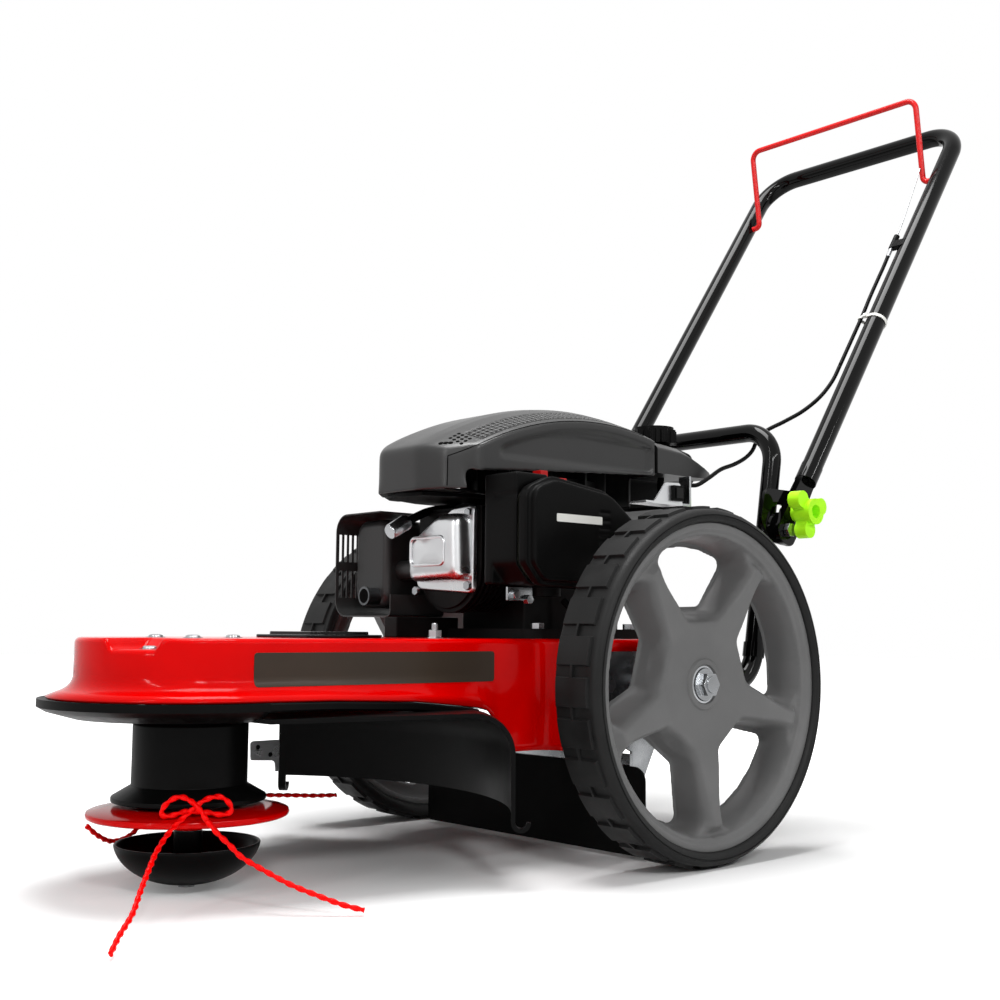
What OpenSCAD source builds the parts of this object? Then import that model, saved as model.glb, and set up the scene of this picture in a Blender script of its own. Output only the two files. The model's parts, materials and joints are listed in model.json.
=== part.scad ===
// Walk-behind wheeled string mower.
// Frame: origin on the ground midway between the wheels, +X forward, +Y to the machine's left, +Z up.
// All sizes are in millimetres.

/* [Wheels] */
// Outer diameter of the tyres
wheel_d = 356; // [300:1:400]
// Width of the tyres
tyre_w = 58; // [40:1:70]
// Distance between the middle planes of the two tyres
track = 444; // [420:1:520]
// Radius of the rim's outer lip
rim_r = 161; // [130:1:170]
// Diameter of the stub axles
axle_d = 16; // [12:0.5:20]
// Number of spokes in each rim
spokes = 5; // [3:1:8]
// Number of tread blocks round each tyre
lugs = 30; // [16:2:48]
// Depth of the tread grooves
groove_depth = 5; // [2:0.5:8]

/* [Trimmer head] */
// Distance from the axle line forward to the trimmer head's axis
head_x = 441; // [400:1:480]
// Radius of the red line disk
disk_r = 89; // [75:1:110]
// Height of the line disk's upper face
disk_z = 70; // [64:1:76]
// Radius of the ground bowl's rim
ball_r = 64; // [50:1:80]
// Depth of the ground bowl
ball_h = 40; // [30:1:46]
// Radius of the spindle housing
housing_r = 51; // [40:1:56]
// Diameter of the spindle
spindle_d = 17; // [12:0.5:24]
// Diameter of the trimmer line
line_d = 4; // [2.4:0.1:5]

/* [Deck] */
// Height of the deck's top face
deck_top = 222; // [215:1:240]
// Thickness of the deck's steel sheet
sheet = 2.5; // [1.5:0.1:4]
// Radius of the upright wall round the nose
nose_r = 103; // [95:1:115]
// Radius of the flared flange round the nose
flange_r = 126; // [118:1:140]
// Half width of the side walls where they meet the rear platform
side_w = 116; // [108:1:122]
// Half width of the rear platform
platform_w = 165; // [160:1:172]
// How far the platform reaches behind the axle line
platform_back = 112; // [90:1:130]

/* [Debris shield] */
// Diameter of the path that the lines cut
cut_d = 559; // [500:1:565]
// Gap between the cut path and the shield's wall
shield_gap = 9; // [6:0.5:14]
// Thickness of the shield
shield_wall = 4; // [3:0.5:6]
// Height of the shield's lower edge above the ground
shield_bottom = 68; // [50:1:90]
// Angle that the shield's wall covers on each side of the rear
shield_angle = 42; // [30:1:46]

/* [Handle] */
// Diameter of the handle tube
tube_d = 25; // [20:0.5:28]
// Wall of the handle tube and of the hoop tube
tube_wall = 1.6; // [1:0.1:3]
// Distance between the middles of the handle's two legs
handle_w = 331; // [326:1:340]
// Length of each handle leg from its pivot to the grip bar
handle_len = 739; // [650:1:800]
// Lean of the handle from upright
handle_lean = 36; // [25:1:45]
// Distance of the handle's pivot behind the axle line
pivot_back = 225; // [215:1:240]
// Height of the handle's pivot
pivot_z = 348; // [335:1:365]
// Diameter of the bail's rod
bail_d = 8; // [6:0.5:10]
// Length of the bail's legs
bail_len = 118; // [100:1:130]
// Distance from the grip bar down to the bail's pivot along the leg
bail_drop = 106; // [98:1:120]
// Radius of the clamp knobs' lobes from their middle
knob_r = 31; // [24:1:36]

/* [Engine] */
// Distance of the crankshaft in front of the axle line
crank_x = 20; // [10:1:30]
// Height of the engine cover's lower edge above the deck
cover_lift = 149; // [145:1:156]
// Height of the engine cover's crown above its lower edge
crown_h = 105; // [100:1:112]
// Radius of the long arch that the cover makes from front to back
arch_r = 396; // [380:1:440]
// Number of air holes along each shoulder grille in each row
grille_holes = 22; // [12:1:28]
// Diameter of the fuel cap
cap_d = 56; // [46:1:60]
// Effective radius of the two belt pulleys
pulley_r = 22; // [20:0.5:24]

/* [Fits] */
// Radial clearance of a shaft that turns in its hole
run_fit = 0.05; // [0.02:0.01:0.1]
// Gap between other faces that move past each other
move_gap = 0.5; // [0.3:0.1:1]

/* [Hidden] */
$fn = 64;

// Plain vectors and outlines
function unit(v) = v / norm(v);
function mirror_y(points) = [for (i = [len(points) - 1:-1:0]) [points[i][0], -points[i][1]]];

// Points that round one corner of an outline with an arc
function corner_arc(a, b, c, r, n) =
    let (u = unit(a - b), v = unit(c - b), half = acos(u * v) / 2)
    let (reach = r / tan(half), middle = b + unit(u + v) * (r / sin(half)))
    let (start = b + u * reach - middle, end = b + v * reach - middle)
    [for (i = [0:n]) middle + unit(start * (n - i) + end * i) * r];

// An outline with each corner rounded by its own radius
function rounded(points, radii, n = 6) =
    let (m = len(points))
    [for (i = [0:m - 1]) let (r = is_list(radii) ? radii[i] : radii)
        each (r == 0 ? [points[i]]
            : corner_arc(points[(i + m - 1) % m], points[i], points[(i + 1) % m], r, n))];

// Places a solid whose own Z axis runs along a line from one point to another
module along(a, b) {
    d = unit(b - a);
    side = abs(d[2]) > 0.99 ? [1, 0, 0] : unit(cross([0, 0, 1], d));
    up = cross(d, side);
    multmatrix([[side[0], up[0], d[0], a[0]], [side[1], up[1], d[1], a[1]], [side[2], up[2], d[2], a[2]],
        [0, 0, 0, 1]]) children();
}

module rod(a, b, r) {
    along(a, b) cylinder(r = r, h = norm(b - a));
}

// A rod bent to a U: legs along Y, bar along X, drawn flat in the XY plane
module u_rod(half, length, r, bend_r, start = 0) {
    for (side = [0, 1]) mirror([side, 0, 0]) {
        translate([half, start, 0]) rotate([-90, 0, 0]) cylinder(r = r, h = length - bend_r - start);
        translate([half - bend_r, length - bend_r, 0]) rotate_extrude(angle = 90)
            translate([bend_r, 0]) circle(r = r);
    }
    translate([bend_r - half, length, 0]) rotate([0, 90, 0]) cylinder(r = r, h = 2 * (half - bend_r));
}

// Stands a flat U upright across the machine, leaning back from a point in its side view
module leaning(place, lean) {
    translate([place[0], 0, place[1]]) rotate([0, -lean, 0]) rotate([90, 0, 90]) children();
}

// Cords: a smooth route through chosen points, swept as one tube
function spline_point(a, b, c, d, t) =
    0.5 * (2 * b + (c - a) * t + (2 * a - 5 * b + 4 * c - d) * t * t + (3 * b - a - 3 * c + d) * t * t * t);
function smooth_route(p, steps) = concat(
    [for (i = [0:len(p) - 2]) for (s = [0:steps - 1])
        spline_point(p[max(i - 1, 0)], p[i], p[i + 1], p[min(i + 2, len(p) - 1)], s / steps)],
    [p[len(p) - 1]]);
function route_ways(q) = [for (i = [0:len(q) - 1]) unit(q[min(i + 1, len(q) - 1)] - q[max(i - 1, 0)])];
function carried(ways, n, i = 0, list = []) = i == len(ways) ? list
    : let (m = unit(n - ways[i] * (n * ways[i]))) carried(ways, m, i + 1, concat(list, [m]));

module cord(route, r, steps = 2, sides = 8) {
    q = smooth_route(route, steps);
    ways = route_ways(q);
    first = abs(ways[0][2]) > 0.9 ? [1, 0, 0] : [0, 0, 1];
    normals = carried(ways, first);
    rings = len(q);
    ring_points = [for (i = [0:rings - 1]) for (k = [0:sides - 1])
        q[i] + r * (cos(360 * k / sides) * normals[i] + sin(360 * k / sides) * cross(ways[i], normals[i]))];
    points = concat(ring_points, [q[0], q[rings - 1]]);
    skin = [for (i = [0:rings - 2]) for (k = [0:sides - 1])
        let (a = i * sides + k, b = i * sides + (k + 1) % sides)
        each [[a, a + sides, b], [b, a + sides, b + sides]]];
    front = [for (k = [0:sides - 1]) [rings * sides, k, (k + 1) % sides]];
    end = (rings - 1) * sides;
    back = [for (k = [0:sides - 1]) [rings * sides + 1, end + (k + 1) % sides, end + k]];
    polyhedron(points = points, faces = concat(skin, front, back));
}

// Sizes worked out from the driving dimensions
wheel_r = wheel_d / 2;
axle_z = wheel_r;
axle_r = axle_d / 2;
tyre_in = track / 2 - tyre_w / 2;
tyre_out = track / 2 + tyre_w / 2;
barrel_t = 7;
lip_h = 5;
web_back = tyre_in + 12;
web_front = web_back + 12;
hub_r = 30;
hub_in = tyre_in - 12;
hub_out = tyre_out - 22;
spoke_tip = tyre_out - 4;
first_spoke = 52;

deck_in = deck_top - sheet;
edge_round = 8;
flare_z = deck_top - 42;
flange_z = deck_top - 51;
skirt_z = deck_top - 64;
skirt_out = 9;
front_wall_x = 106;
wall_round = 24;
foot_z = 112;
side_lean = atan((side_w - nose_r) / (head_x - front_wall_x - wall_round));
shaft_hole_r = 42;

shield_top = skirt_z - sheet;
shield_r = cut_d / 2 + shield_gap;
shield_round = 36;
shield_plate = 4;
rim_lip = 8;
foot_gap = 1;
foot_mid_z = shield_top - shield_round;
foot_mid_x = head_x - sqrt(pow(shield_r + shield_wall - shield_round, 2) - pow(side_w, 2));
foot_round = foot_mid_x - head_x + sqrt(pow(shield_r + shield_wall, 2) - pow(side_w - sheet, 2)) + foot_gap;

handle_y = handle_w / 2;
tube_r = tube_d / 2;
pivot = [-pivot_back, pivot_z];
lean_way = [-sin(handle_lean), cos(handle_lean)];
function on_leg(s, off = 0) = [pivot[0] + lean_way[0] * s + lean_way[1] * off,
    pivot[1] + lean_way[1] * s - lean_way[0] * off];
function leg_point(s, y, off = 0) = [on_leg(s, off)[0], y, on_leg(s, off)[1]];
grip_bend = 50;
flat_len = 84;
flat_t = 9;
flat_w = 34;
knob_up = 26;
clamp_bolt_r = 4;
pivot_bolt_r = 5;
bracket_t = 4;
flat_in = handle_y - flat_t / 2;
flat_out = handle_y + flat_t / 2;
hoop_r = 11;
hoop_bend = 42;
stand_off = 9;
hoop_y = flat_in - bracket_t - hoop_r - stand_off;
hoop_z = axle_z - 6;
hoop_front = -20;
hoop_lean = 10;
hoop_top = [-249, 472];
hoop_bend_x = hoop_top[0] + (hoop_top[1] - hoop_z) * tan(hoop_lean)
    + hoop_bend * tan((90 - hoop_lean) / 2);
hoop_joint = [hoop_bend_x - hoop_bend * cos(hoop_lean), hoop_z + hoop_bend - hoop_bend * sin(hoop_lean)];
hoop_leg = (hoop_top[1] - hoop_joint[1]) / cos(hoop_lean);
bail_r = bail_d / 2;
bail_s = handle_len - bail_drop;
bail_lean = 8;
bail_y = handle_y - tube_r - 12;
bail_top = [on_leg(bail_s)[0] + bail_len * sin(bail_lean), on_leg(bail_s)[1] + bail_len * cos(bail_lean)];

spindle_r = spindle_d / 2;
bearing_r = 20;
bearing_h = 12;
housing_bottom = disk_z + 8;
housing_top = housing_bottom + 70;
collar_r = housing_r + 17;
bolt_ring = 40;
bearing_low = housing_bottom + 6;
bearing_high = housing_top - bearing_h - 4;
belt_z = deck_top - 33;
belt_h = 10;
belt_t = 7;
pulley_h = 20;
spindle_top = belt_z + pulley_h / 2 + 6;
bowl_t = 4;
bowl_flat = 20;
bowl_boss = 15;

cover_z = deck_top + cover_lift;
cover_front = 216;
cover_back = -84;
cover_w = 95;
arch_x = 7;
arch_z = cover_z + crown_h - arch_r;
band_top = [arch_r - 7, 62];
band_low = [arch_r - 16, 86];
band_start = [70, 64.5];
band_end = 102.5;
band_edge = 1.2;
cover_t = 3;
case_w = 70;
case_front = 100;
case_back = crank_x - 85;
base_t = 10;
base_plate_t = 4;
bore_z = deck_top + 86;
fin_r = 58;
head_front = 145;
head_w = 47;
valve_front = 172;
crank_r = 12.5;
flywheel_r = 84;
filter_front = 172;
filter_back = 16;
filter_low = deck_top + 50;
filter_high = deck_top + 160;
filter_nose = 0;
filter_gap = 4;
filter_in = 100;
filter_mid = 137;
filter_out = 160;
tank_front = -95;
tank_back = -212;
tank_w = 74;
tank_low = cover_z + 39;
tank_high = cover_z + 87;
cap_at = [-152, 30];
cap_low = cover_z + 84;
cap_h = 20;
muffler_box = [[84, -160, deck_top + 26], [160, -60, deck_top + 134]];
outlet_y = -90;
outlet_z = deck_top + 44;
guard_gap = 2;
guard_t = 2;
grip_at = [-62, -cover_w, cover_z + 48];
grip_way = unit([-0.55, -0.6, 0.58]);
rope_len = 14;
lever_at = [-96, 112];

// Routes of the two trimmer lines, from free end to free end
front_line_route = [[606, 198, 5], [588, 182, 12], [566, 162, 21], [544, 142, 31], [523, 120, 42], [508, 104, 55],
    [499, 92, 69], [492, 84, 78], [500, 70, 83], [514, 54, 82], [520, 41, 79], [511, 40, 76], [497, 49, 75],
    [482, 61, 75], [466, 66, 76], [449, 70, 77], [437, 78, 79], [435, 86, 82], [444, 88, 84], [462, 86, 83],
    [478, 88, 80], [480, 94, 70], [476, 103, 58], [467, 115, 46], [455, 130, 35], [440, 147, 26], [422, 163, 19],
    [402, 178, 14], [388, 188, 11]];
rear_line_route = [[528, -24, 53], [521, -34, 47], [513, -46, 46], [505, -60, 51], [497, -74, 60], [487, -79, 70],
    [474, -74, 75], [459, -71, 76], [441, -71, 76], [423, -73, 76], [405, -80, 76], [388, -86, 76],
    [366, -84, 73], [340, -79, 69], [313, -75, 66], [286, -71, 64], [262, -67, 65], [243, -62, 68]];

// Route of the control cable, along the handle and then down to the engine
handle_cable_route = [[-491.3, 147, 731.5], [-480, 147, 715], [-466, 146.5, 695], [-446, 147, 668],
    [-428, 148, 643], [-410, 148, 618], [-391, 148, 592], [-372.3, 148, 566.4]];
engine_cable_route = [[-372, 148, 566], [-356, 147, 544], [-336, 142, 522], [-314, 132, 503], [-294, 118, 489],
    [-278, 104, 478], [-268, 97, 466], [-260, 95, 452], [-244, 96, 441], [-220, 98, 431], [-190, 102, 422],
    [-164, 106, 410], [-138, 110, 399], [-125, 110, 397], [-116.2, 110, 396.6]];
cable_r = 2.5;
bail_wire_route = [[-589.4, 141.06, 879], [-575, 142.5, 856], [-553, 144.5, 822], [-531, 146.5, 788],
    [-515.5, 147, 765]];
bail_wire_r = 1;
fuel_hose_route = [[62, 92, 262], [58, 100, 254], [44, 106, 250], [20, 106, 252], [-10, 102, 262], [-40, 92, 282],
    [-62, 86, 312], [-92, 82, 334], [-122, 74, 350], [-132, 66, 376], [-128, 62, 394], [-128, 62, 409.6]];
fuel_hose_r = 4;

// Deck
// Cross-section of the wall's bent top edge and flared foot, X outward from the wall's face
function wall_section(flare_x, flare_end, top_in) = rounded([[-top_in, deck_top], [0, deck_top], [0, flare_z],
    [flare_x, flare_end], [flare_x, flare_end - sheet], [-sheet, flare_z - sheet], [-sheet, deck_in],
    [-top_in, deck_in]], [0, edge_round, 5, 0, 0, 7, edge_round - sheet, 0]);

module nose_shell() {
    translate([head_x, 0]) rotate([0, 0, -90]) rotate_extrude(angle = 180)
        translate([nose_r, 0]) polygon(wall_section(flange_r - nose_r, flange_z, nose_r));
}

module side_wall() {
    length = (head_x - front_wall_x - wall_round) / cos(side_lean);
    lower = [[0, skirt_z - 20], [length, skirt_z - 20], [length, skirt_z]];
    translate([head_x, nose_r]) rotate([0, 0, side_lean]) rotate([90, 0, -90]) rotate([0, 180, 0])
        translate([0, 0, -length]) mirror([0, 0, 0]) linear_extrude(length)
            polygon(wall_section(skirt_out, skirt_z, nose_r * 0.9));
}

// The flange that narrows from the nose back along each side
module side_flange() {
    narrow_x = foot_mid_x;
    narrow_y = side_w - 4;
    translate([0, 0, flange_z - sheet]) linear_extrude(sheet) polygon([[head_x, nose_r - 2],
        [head_x, flange_r], [head_x - 70, flange_r - 2], [narrow_x + 60, narrow_y + 9], [narrow_x, narrow_y + 5],
        [narrow_x, narrow_y - 6]]);
}

// Lower side panel that steps down behind the shield's shoulder
module side_foot() {
    start = front_wall_x + wall_round - 1;
    difference() {
        translate([start, side_w - sheet, foot_z])
            cube([foot_mid_x - start, sheet, deck_in - foot_z]);
        translate([foot_mid_x, side_w + 1, foot_mid_z]) rotate([90, 0, 0])
            cylinder(r = foot_round, h = sheet + 2);
        translate([foot_mid_x - foot_round, side_w - sheet - 1, foot_z - 1])
            cube([2 * foot_round, sheet + 2, foot_mid_z - foot_z + 1]);
    }
}

// Concave corner and cross wall in front of the platform
module cross_wall() {
    translate([front_wall_x + wall_round, side_w - sheet + wall_round, foot_z]) rotate([0, 0, 180])
        rotate_extrude(angle = 90) translate([wall_round - sheet, 0]) square([sheet, deck_in - foot_z]);
    translate([front_wall_x, side_w - sheet + wall_round, foot_z])
        cube([sheet, platform_w - side_w + sheet - wall_round, deck_in - foot_z]);
}

module platform() {
    corner = 18;
    lip = 12;
    outline = rounded([[-platform_back, -platform_w], [front_wall_x + sheet, -platform_w],
        [front_wall_x + sheet, platform_w], [-platform_back, platform_w]], [corner, 0, 0, corner]);
    inner = rounded([[-platform_back + sheet, -platform_w + sheet], [front_wall_x + 1, -platform_w + sheet],
        [front_wall_x + 1, platform_w - sheet], [-platform_back + sheet, platform_w - sheet]],
        [corner - sheet, 0, 0, corner - sheet]);
    translate([0, 0, deck_in]) linear_extrude(sheet) polygon(outline);
    difference() {
        translate([0, 0, deck_top - lip]) linear_extrude(lip - sheet) polygon(outline);
        translate([0, 0, deck_top - lip - 1]) linear_extrude(lip) polygon(inner);
    }
}

module top_bridge() {
    translate([0, 0, deck_in]) linear_extrude(sheet) polygon([[head_x, -nose_r * 0.8], [head_x, nose_r * 0.8],
        [front_wall_x, side_w - 4], [front_wall_x, -side_w + 4]]);
}

// Stamped pocket in the nose that sinks the front bolt
pocket_x = head_x + 46;
pocket_w = 44;
pocket_depth = 8;

module deck() {
    color("red") difference() {
        union() {
            nose_shell();
            for (side = [0, 1]) mirror([0, side, 0]) {
                side_wall();
                side_flange();
                side_foot();
                cross_wall();
            }
            platform();
            top_bridge();
            intersection() {
                translate([pocket_x - sheet, -pocket_w / 2 - sheet, deck_top - pocket_depth - sheet])
                    cube([nose_r, pocket_w + 2 * sheet, pocket_depth + sheet]);
                translate([head_x, 0, 0]) cylinder(r = nose_r - 0.5, h = deck_top - 0.5);
            }
        }
        translate([pocket_x, -pocket_w / 2, deck_top - pocket_depth]) cube([nose_r, pocket_w, pocket_depth + 1]);
        translate([crank_x, 0, deck_in - 1]) cylinder(r = shaft_hole_r, h = sheet + 2);
        for (a = [60:120:300]) translate([head_x + bolt_ring * cos(a), bolt_ring * sin(a), deck_in - 1])
            cylinder(r = clamp_bolt_r, h = sheet + 2);
        for (p = engine_bolt_places) translate([p[0], p[1], deck_in - 1])
            cylinder(r = clamp_bolt_r, h = sheet + 2);
    }
}

// Debris shield: a plate under the deck whose rear turns down into a round wall
module shield_wall_section() {
    top = shield_top;
    round_in = shield_round - shield_wall;
    polygon(rounded([[nose_r - 20, top], [shield_r + shield_wall, top], [shield_r + shield_wall, shield_bottom],
        [shield_r, shield_bottom], [shield_r, top - shield_plate], [nose_r - 20, top - shield_plate]],
        [0, shield_round, 0, 0, round_in, 0], 8));
}

module debris_shield() {
    rim_r2 = flange_r + 7;
    hole_r = housing_r + 8;
    color("#1c1c1c") difference() {
        union() {
            translate([head_x, 0, 0]) rotate([0, 0, 180 - shield_angle]) rotate_extrude(angle = 2 * shield_angle)
                shield_wall_section();
            translate([head_x, 0, 0]) rotate([0, 0, -90]) rotate_extrude(angle = 180)
                polygon([[0, shield_top], [nose_r - 2, shield_top], [flange_r - 6, flange_z - sheet - 5],
                    [flange_r + 1, flange_z - sheet - 2], [rim_r2, flange_z - 2], [rim_r2, flange_z - rim_lip - 1],
                    [flange_r, flange_z - rim_lip - 5], [nose_r, shield_top - shield_plate],
                    [0, shield_top - shield_plate]]);
            translate([0, 0, shield_top - shield_plate]) linear_extrude(shield_plate)
                polygon([[head_x, -rim_r2], [head_x, rim_r2],
                    [head_x - (shield_r - shield_round) * cos(shield_angle),
                        (shield_r - shield_round) * sin(shield_angle)],
                    [head_x - shield_r + shield_round, side_w - 20], [head_x - shield_r + shield_round, 20 - side_w],
                    [head_x - (shield_r - shield_round) * cos(shield_angle),
                        -(shield_r - shield_round) * sin(shield_angle)]]);
            for (side = [-1, 1]) translate([head_x, 0, 0]) rotate([0, 0, 180 - side * shield_angle])
                translate([shield_r + shield_wall, 0, 0]) shield_hook(side);
        }
        translate([head_x, 0, shield_top - 20]) cylinder(r = hole_r, h = 40);
    }
}

// Stiff edge that ends in an open hook at each end of the wall
module shield_hook(side) {
    hook_r = 9;
    edge_w = 8;
    drop = 9;
    translate([0, side > 0 ? 0 : -edge_w, 0]) {
        translate([-shield_wall, 0, shield_bottom - drop])
            cube([shield_wall, edge_w, shield_top - shield_round - shield_bottom + drop]);
        translate([hook_r - shield_wall, 0, shield_bottom - drop]) rotate([-90, 0, 0]) rotate([0, 0, 0])
            rotate_extrude(angle = 180) translate([hook_r - shield_wall, 0]) square([shield_wall, edge_w]);
    }
}

module belt_cover() {
    front = head_x - 92;
    back = head_x - 178;
    half = 52;
    color("#202020") {
        translate([0, 0, deck_top]) linear_extrude(3)
            polygon(rounded([[back, -half], [front, -half], [front, half], [back, half]], 10));
        translate([0, 0, deck_top + 3]) linear_extrude(3)
            polygon(rounded([[back + 10, -half + 10], [front - 10, -half + 10], [front - 10, half - 10],
                [back + 10, half - 10]], 8));
    }
}

// Rear flap and what carries it
flap_x = 24;
flap_t = 4;
flap_w = 173;
flap_top = 93;
flap_low = 4;
bracket_y = hoop_y + hoop_r;
bar_t = 3;

module rear_flap() {
    color("#161616") translate([flap_x + flap_t, 0, 0]) rotate([90, 0, -90]) linear_extrude(flap_t)
        polygon(rounded([[-flap_w, flap_low], [flap_w, flap_low], [flap_w, flap_top], [-flap_w, flap_top]],
            [6, 6, 14, 14]));
}

module flap_bar() {
    color("silver") difference() {
        translate([flap_x - bar_t, -bracket_y - axle_plate_t, flap_top - 22])
            cube([bar_t, 2 * (bracket_y + axle_plate_t), 34]);
        for (y = [-100, 0, 100]) translate([flap_x - bar_t - 1, y, flap_top - 10]) rotate([0, 90, 0])
            cylinder(r = 3, h = bar_t + 2);
    }
}

axle_plate_t = 3;
axle_boss_r = 22;

module axle_brackets() {
    top = deck_in;
    color("silver") for (side = [0, 1]) mirror([0, side, 0]) difference() {
        union() {
            translate([0, bracket_y + axle_plate_t, 0]) rotate([90, 0, 0]) linear_extrude(axle_plate_t)
                polygon(rounded([[front_wall_x - 1, top], [-78, top], [-78, top - 56], [-34, axle_z - 34],
                    [flap_x - bar_t - 14, flap_top - 22], [flap_x - bar_t, flap_top - 22],
                    [flap_x - bar_t, flap_top + 14], [front_wall_x - 1, foot_z + 34]],
                    [0, 0, 10, 20, 4, 0, 0, 10]));
            translate([-70, bracket_y - 22, top - axle_plate_t]) cube([front_wall_x + 60, 22, axle_plate_t]);
            translate([0, bracket_y + axle_plate_t, axle_z]) rotate([-90, 0, 0])
                cylinder(r = axle_boss_r, h = hub_in - bracket_y - axle_plate_t - 6);
        }
        translate([0, bracket_y - 1, axle_z]) rotate([-90, 0, 0]) cylinder(r = axle_r, h = 60);
    }
}

module stub_axles() {
    color("silver") for (side = [0, 1]) mirror([0, side, 0]) {
        translate([0, bracket_y - 10, axle_z]) rotate([-90, 0, 0]) cylinder(r = 13, h = 10, $fn = 6);
        translate([0, bracket_y, axle_z]) rotate([-90, 0, 0]) cylinder(r = axle_r, h = hub_out + 12 - bracket_y);
    }
}

module axle_nuts() {
    color("silver") for (side = [0, 1]) mirror([0, side, 0]) {
        translate([0, hub_out + move_gap, axle_z]) rotate([-90, 0, 0]) difference() {
            union() {
                cylinder(r = 16, h = 2);
                cylinder(r = 12.5, h = 10, $fn = 6);
            }
            translate([0, 0, -1]) cylinder(r = axle_r, h = 20);
        }
        translate([0, hub_in - move_gap - 5, axle_z]) rotate([-90, 0, 0]) difference() {
            cylinder(r = 16, h = 5);
            translate([0, 0, -1]) cylinder(r = axle_r, h = 20);
        }
    }
}

// Wheels
module tyre_body() {
    t = groove_depth;
    shoulder = 7;
    inner = rim_r;
    section = rounded([[inner, tyre_in + 5], [inner + 6, tyre_in], [wheel_r - shoulder, tyre_in],
        [wheel_r, tyre_in + shoulder], [wheel_r, tyre_out - shoulder - 3], [wheel_r - shoulder - 2, tyre_out - 3],
        [inner + 5, tyre_out - 4], [inner, tyre_out - 5]], [0, 3, 4, 4, 4, 3, 1, 0], 3);
    difference() {
        rotate([-90, 0, 0]) rotate_extrude() polygon(section);
        for (i = [0:lugs - 1]) rotate([0, i * 360 / lugs, 0]) tread_cut();
    }
}

// One cross groove that steps sideways at the middle of the tread
module tread_cut() {
    cut_w = 3.5;
    jog = 4.5;
    middle = (tyre_in + tyre_out) / 2;
    low = wheel_r - groove_depth;
    translate([-cut_w / 2, tyre_in - 1, low]) cube([cut_w, middle - tyre_in + 1 + cut_w / 2, groove_depth + 5]);
    translate([jog - cut_w / 2, middle - cut_w / 2, low - 0.4])
        cube([cut_w, tyre_out - middle + cut_w / 2 + 1, groove_depth + 5]);
    translate([-cut_w / 2, middle - cut_w / 2, low - 0.2]) cube([jog + cut_w, cut_w, groove_depth + 5]);
}

// Pocket between two spokes: flat walls that lean outward to the front, with corners turned in short steps
pocket_in = 86;
pocket_out = 130;
pocket_back_r = 8;
pocket_front_r = 20;
spoke_root = 34;
spoke_end = 30;
corner_step = 16;

function spoke_side(u) = (sin(180 / spokes) * u - spoke_root) / cos(180 / spokes);
function edge_turn(core, i) = let (a = core[i % len(core)], b = core[(i + 1) % len(core)])
    atan2(a[0] - b[0], b[1] - a[1]);
function wall_turns(core) = [for (i = [0:len(core) - 1])
    let (from = edge_turn(core, i), turn = (edge_turn(core, i + 1) - from + 720) % 360, n = ceil(turn / corner_step))
    each [for (k = [0:n - 1]) from + turn * k / n]];
function reach(core, turn) = max([for (p = core) p[0] * cos(turn) + p[1] * sin(turn)]);

module spoke_pocket() {
    turn = 180 / spokes - asin(spoke_end / pocket_out);
    core = concat([[pocket_in, spoke_side(pocket_in)], [pocket_in, -spoke_side(pocket_in)]],
        [for (f = [-1, -0.5, 0, 0.5, 1]) pocket_out * [cos(turn * f), sin(turn * f)]]);
    low = web_back - 1;
    high = tyre_out + 1;
    grow = (pocket_front_r - pocket_back_r) / (spoke_tip - web_back);
    intersection() {
        translate([20, -100, low]) cube([200, 200, high - low]);
        intersection_for (a = wall_turns(core)) rotate([0, 0, a])
            translate([reach(core, a) + pocket_back_r - grow, 0, low]) rotate([0, atan(grow), 0])
                translate([-400, -300, -300]) cube([400, 600, 700]);
    }
}

// Moulded wheel: barrel, dished spoked face and hub, turned about the wheel's own axis
module rim_body() {
    barrel_in = rim_r - barrel_t;
    step = 360 / spokes;
    section = [[0, hub_in], [hub_r, hub_in], [hub_r, web_back], [barrel_in, web_back], [barrel_in, tyre_in + 5],
        [rim_r, tyre_in + 5], [rim_r, tyre_out - 4], [rim_r + 2, tyre_out - 3], [rim_r + 2, tyre_out],
        [barrel_in + 1, tyre_out], [barrel_in - 3, tyre_out - 10], [barrel_in - 9, tyre_out - 12],
        [barrel_in - 17, spoke_tip], [hub_r + 32, hub_out + 3], [hub_r - 8, hub_out], [hub_r - 9, hub_out - 3],
        [0, hub_out - 3]];
    difference() {
        rotate([-90, 0, 0]) rotate_extrude() polygon(section);
        for (i = [0:spokes - 1]) rotate([-90, 0, 0]) rotate([0, 0, -first_spoke - (i + 0.5) * step]) spoke_pocket();
        translate([0, hub_in - 1, 0]) rotate([-90, 0, 0]) cylinder(r = axle_r + run_fit, h = tyre_w * 2);
    }
}

module left_tyre() {
    color("#2b2b2b") translate([0, 0, axle_z]) tyre_body();
}

module right_tyre() {
    color("#2b2b2b") mirror([0, 1, 0]) translate([0, 0, axle_z]) tyre_body();
}

module left_rim() {
    color("#6e6e6e") translate([0, 0, axle_z]) rim_body();
}

module right_rim() {
    color("#6e6e6e") mirror([0, 1, 0]) translate([0, 0, axle_z]) rim_body();
}

// Hoop frame and handle
// The upper U leans back; a sleeve on each leg joins it to the bent foot
module hoop_upper(r, start) {
    leaning(hoop_joint, hoop_lean) u_rod(hoop_y, hoop_leg, r, hoop_bend, start);
}

module hoop_foot(r, extra) {
    for (side = [-1, 1]) translate([hoop_bend_x, side * hoop_y, hoop_z + hoop_bend]) rotate([90, 0, 0])
        rotate([0, 0, 180 + hoop_lean]) rotate_extrude(angle = 90 - hoop_lean)
            translate([hoop_bend, 0]) circle(r = r);
    for (side = [-1, 1]) translate([hoop_bend_x, side * hoop_y, hoop_z]) rotate([0, 90, 0])
        cylinder(r = r, h = hoop_front - hoop_bend_x + extra);
}

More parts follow.
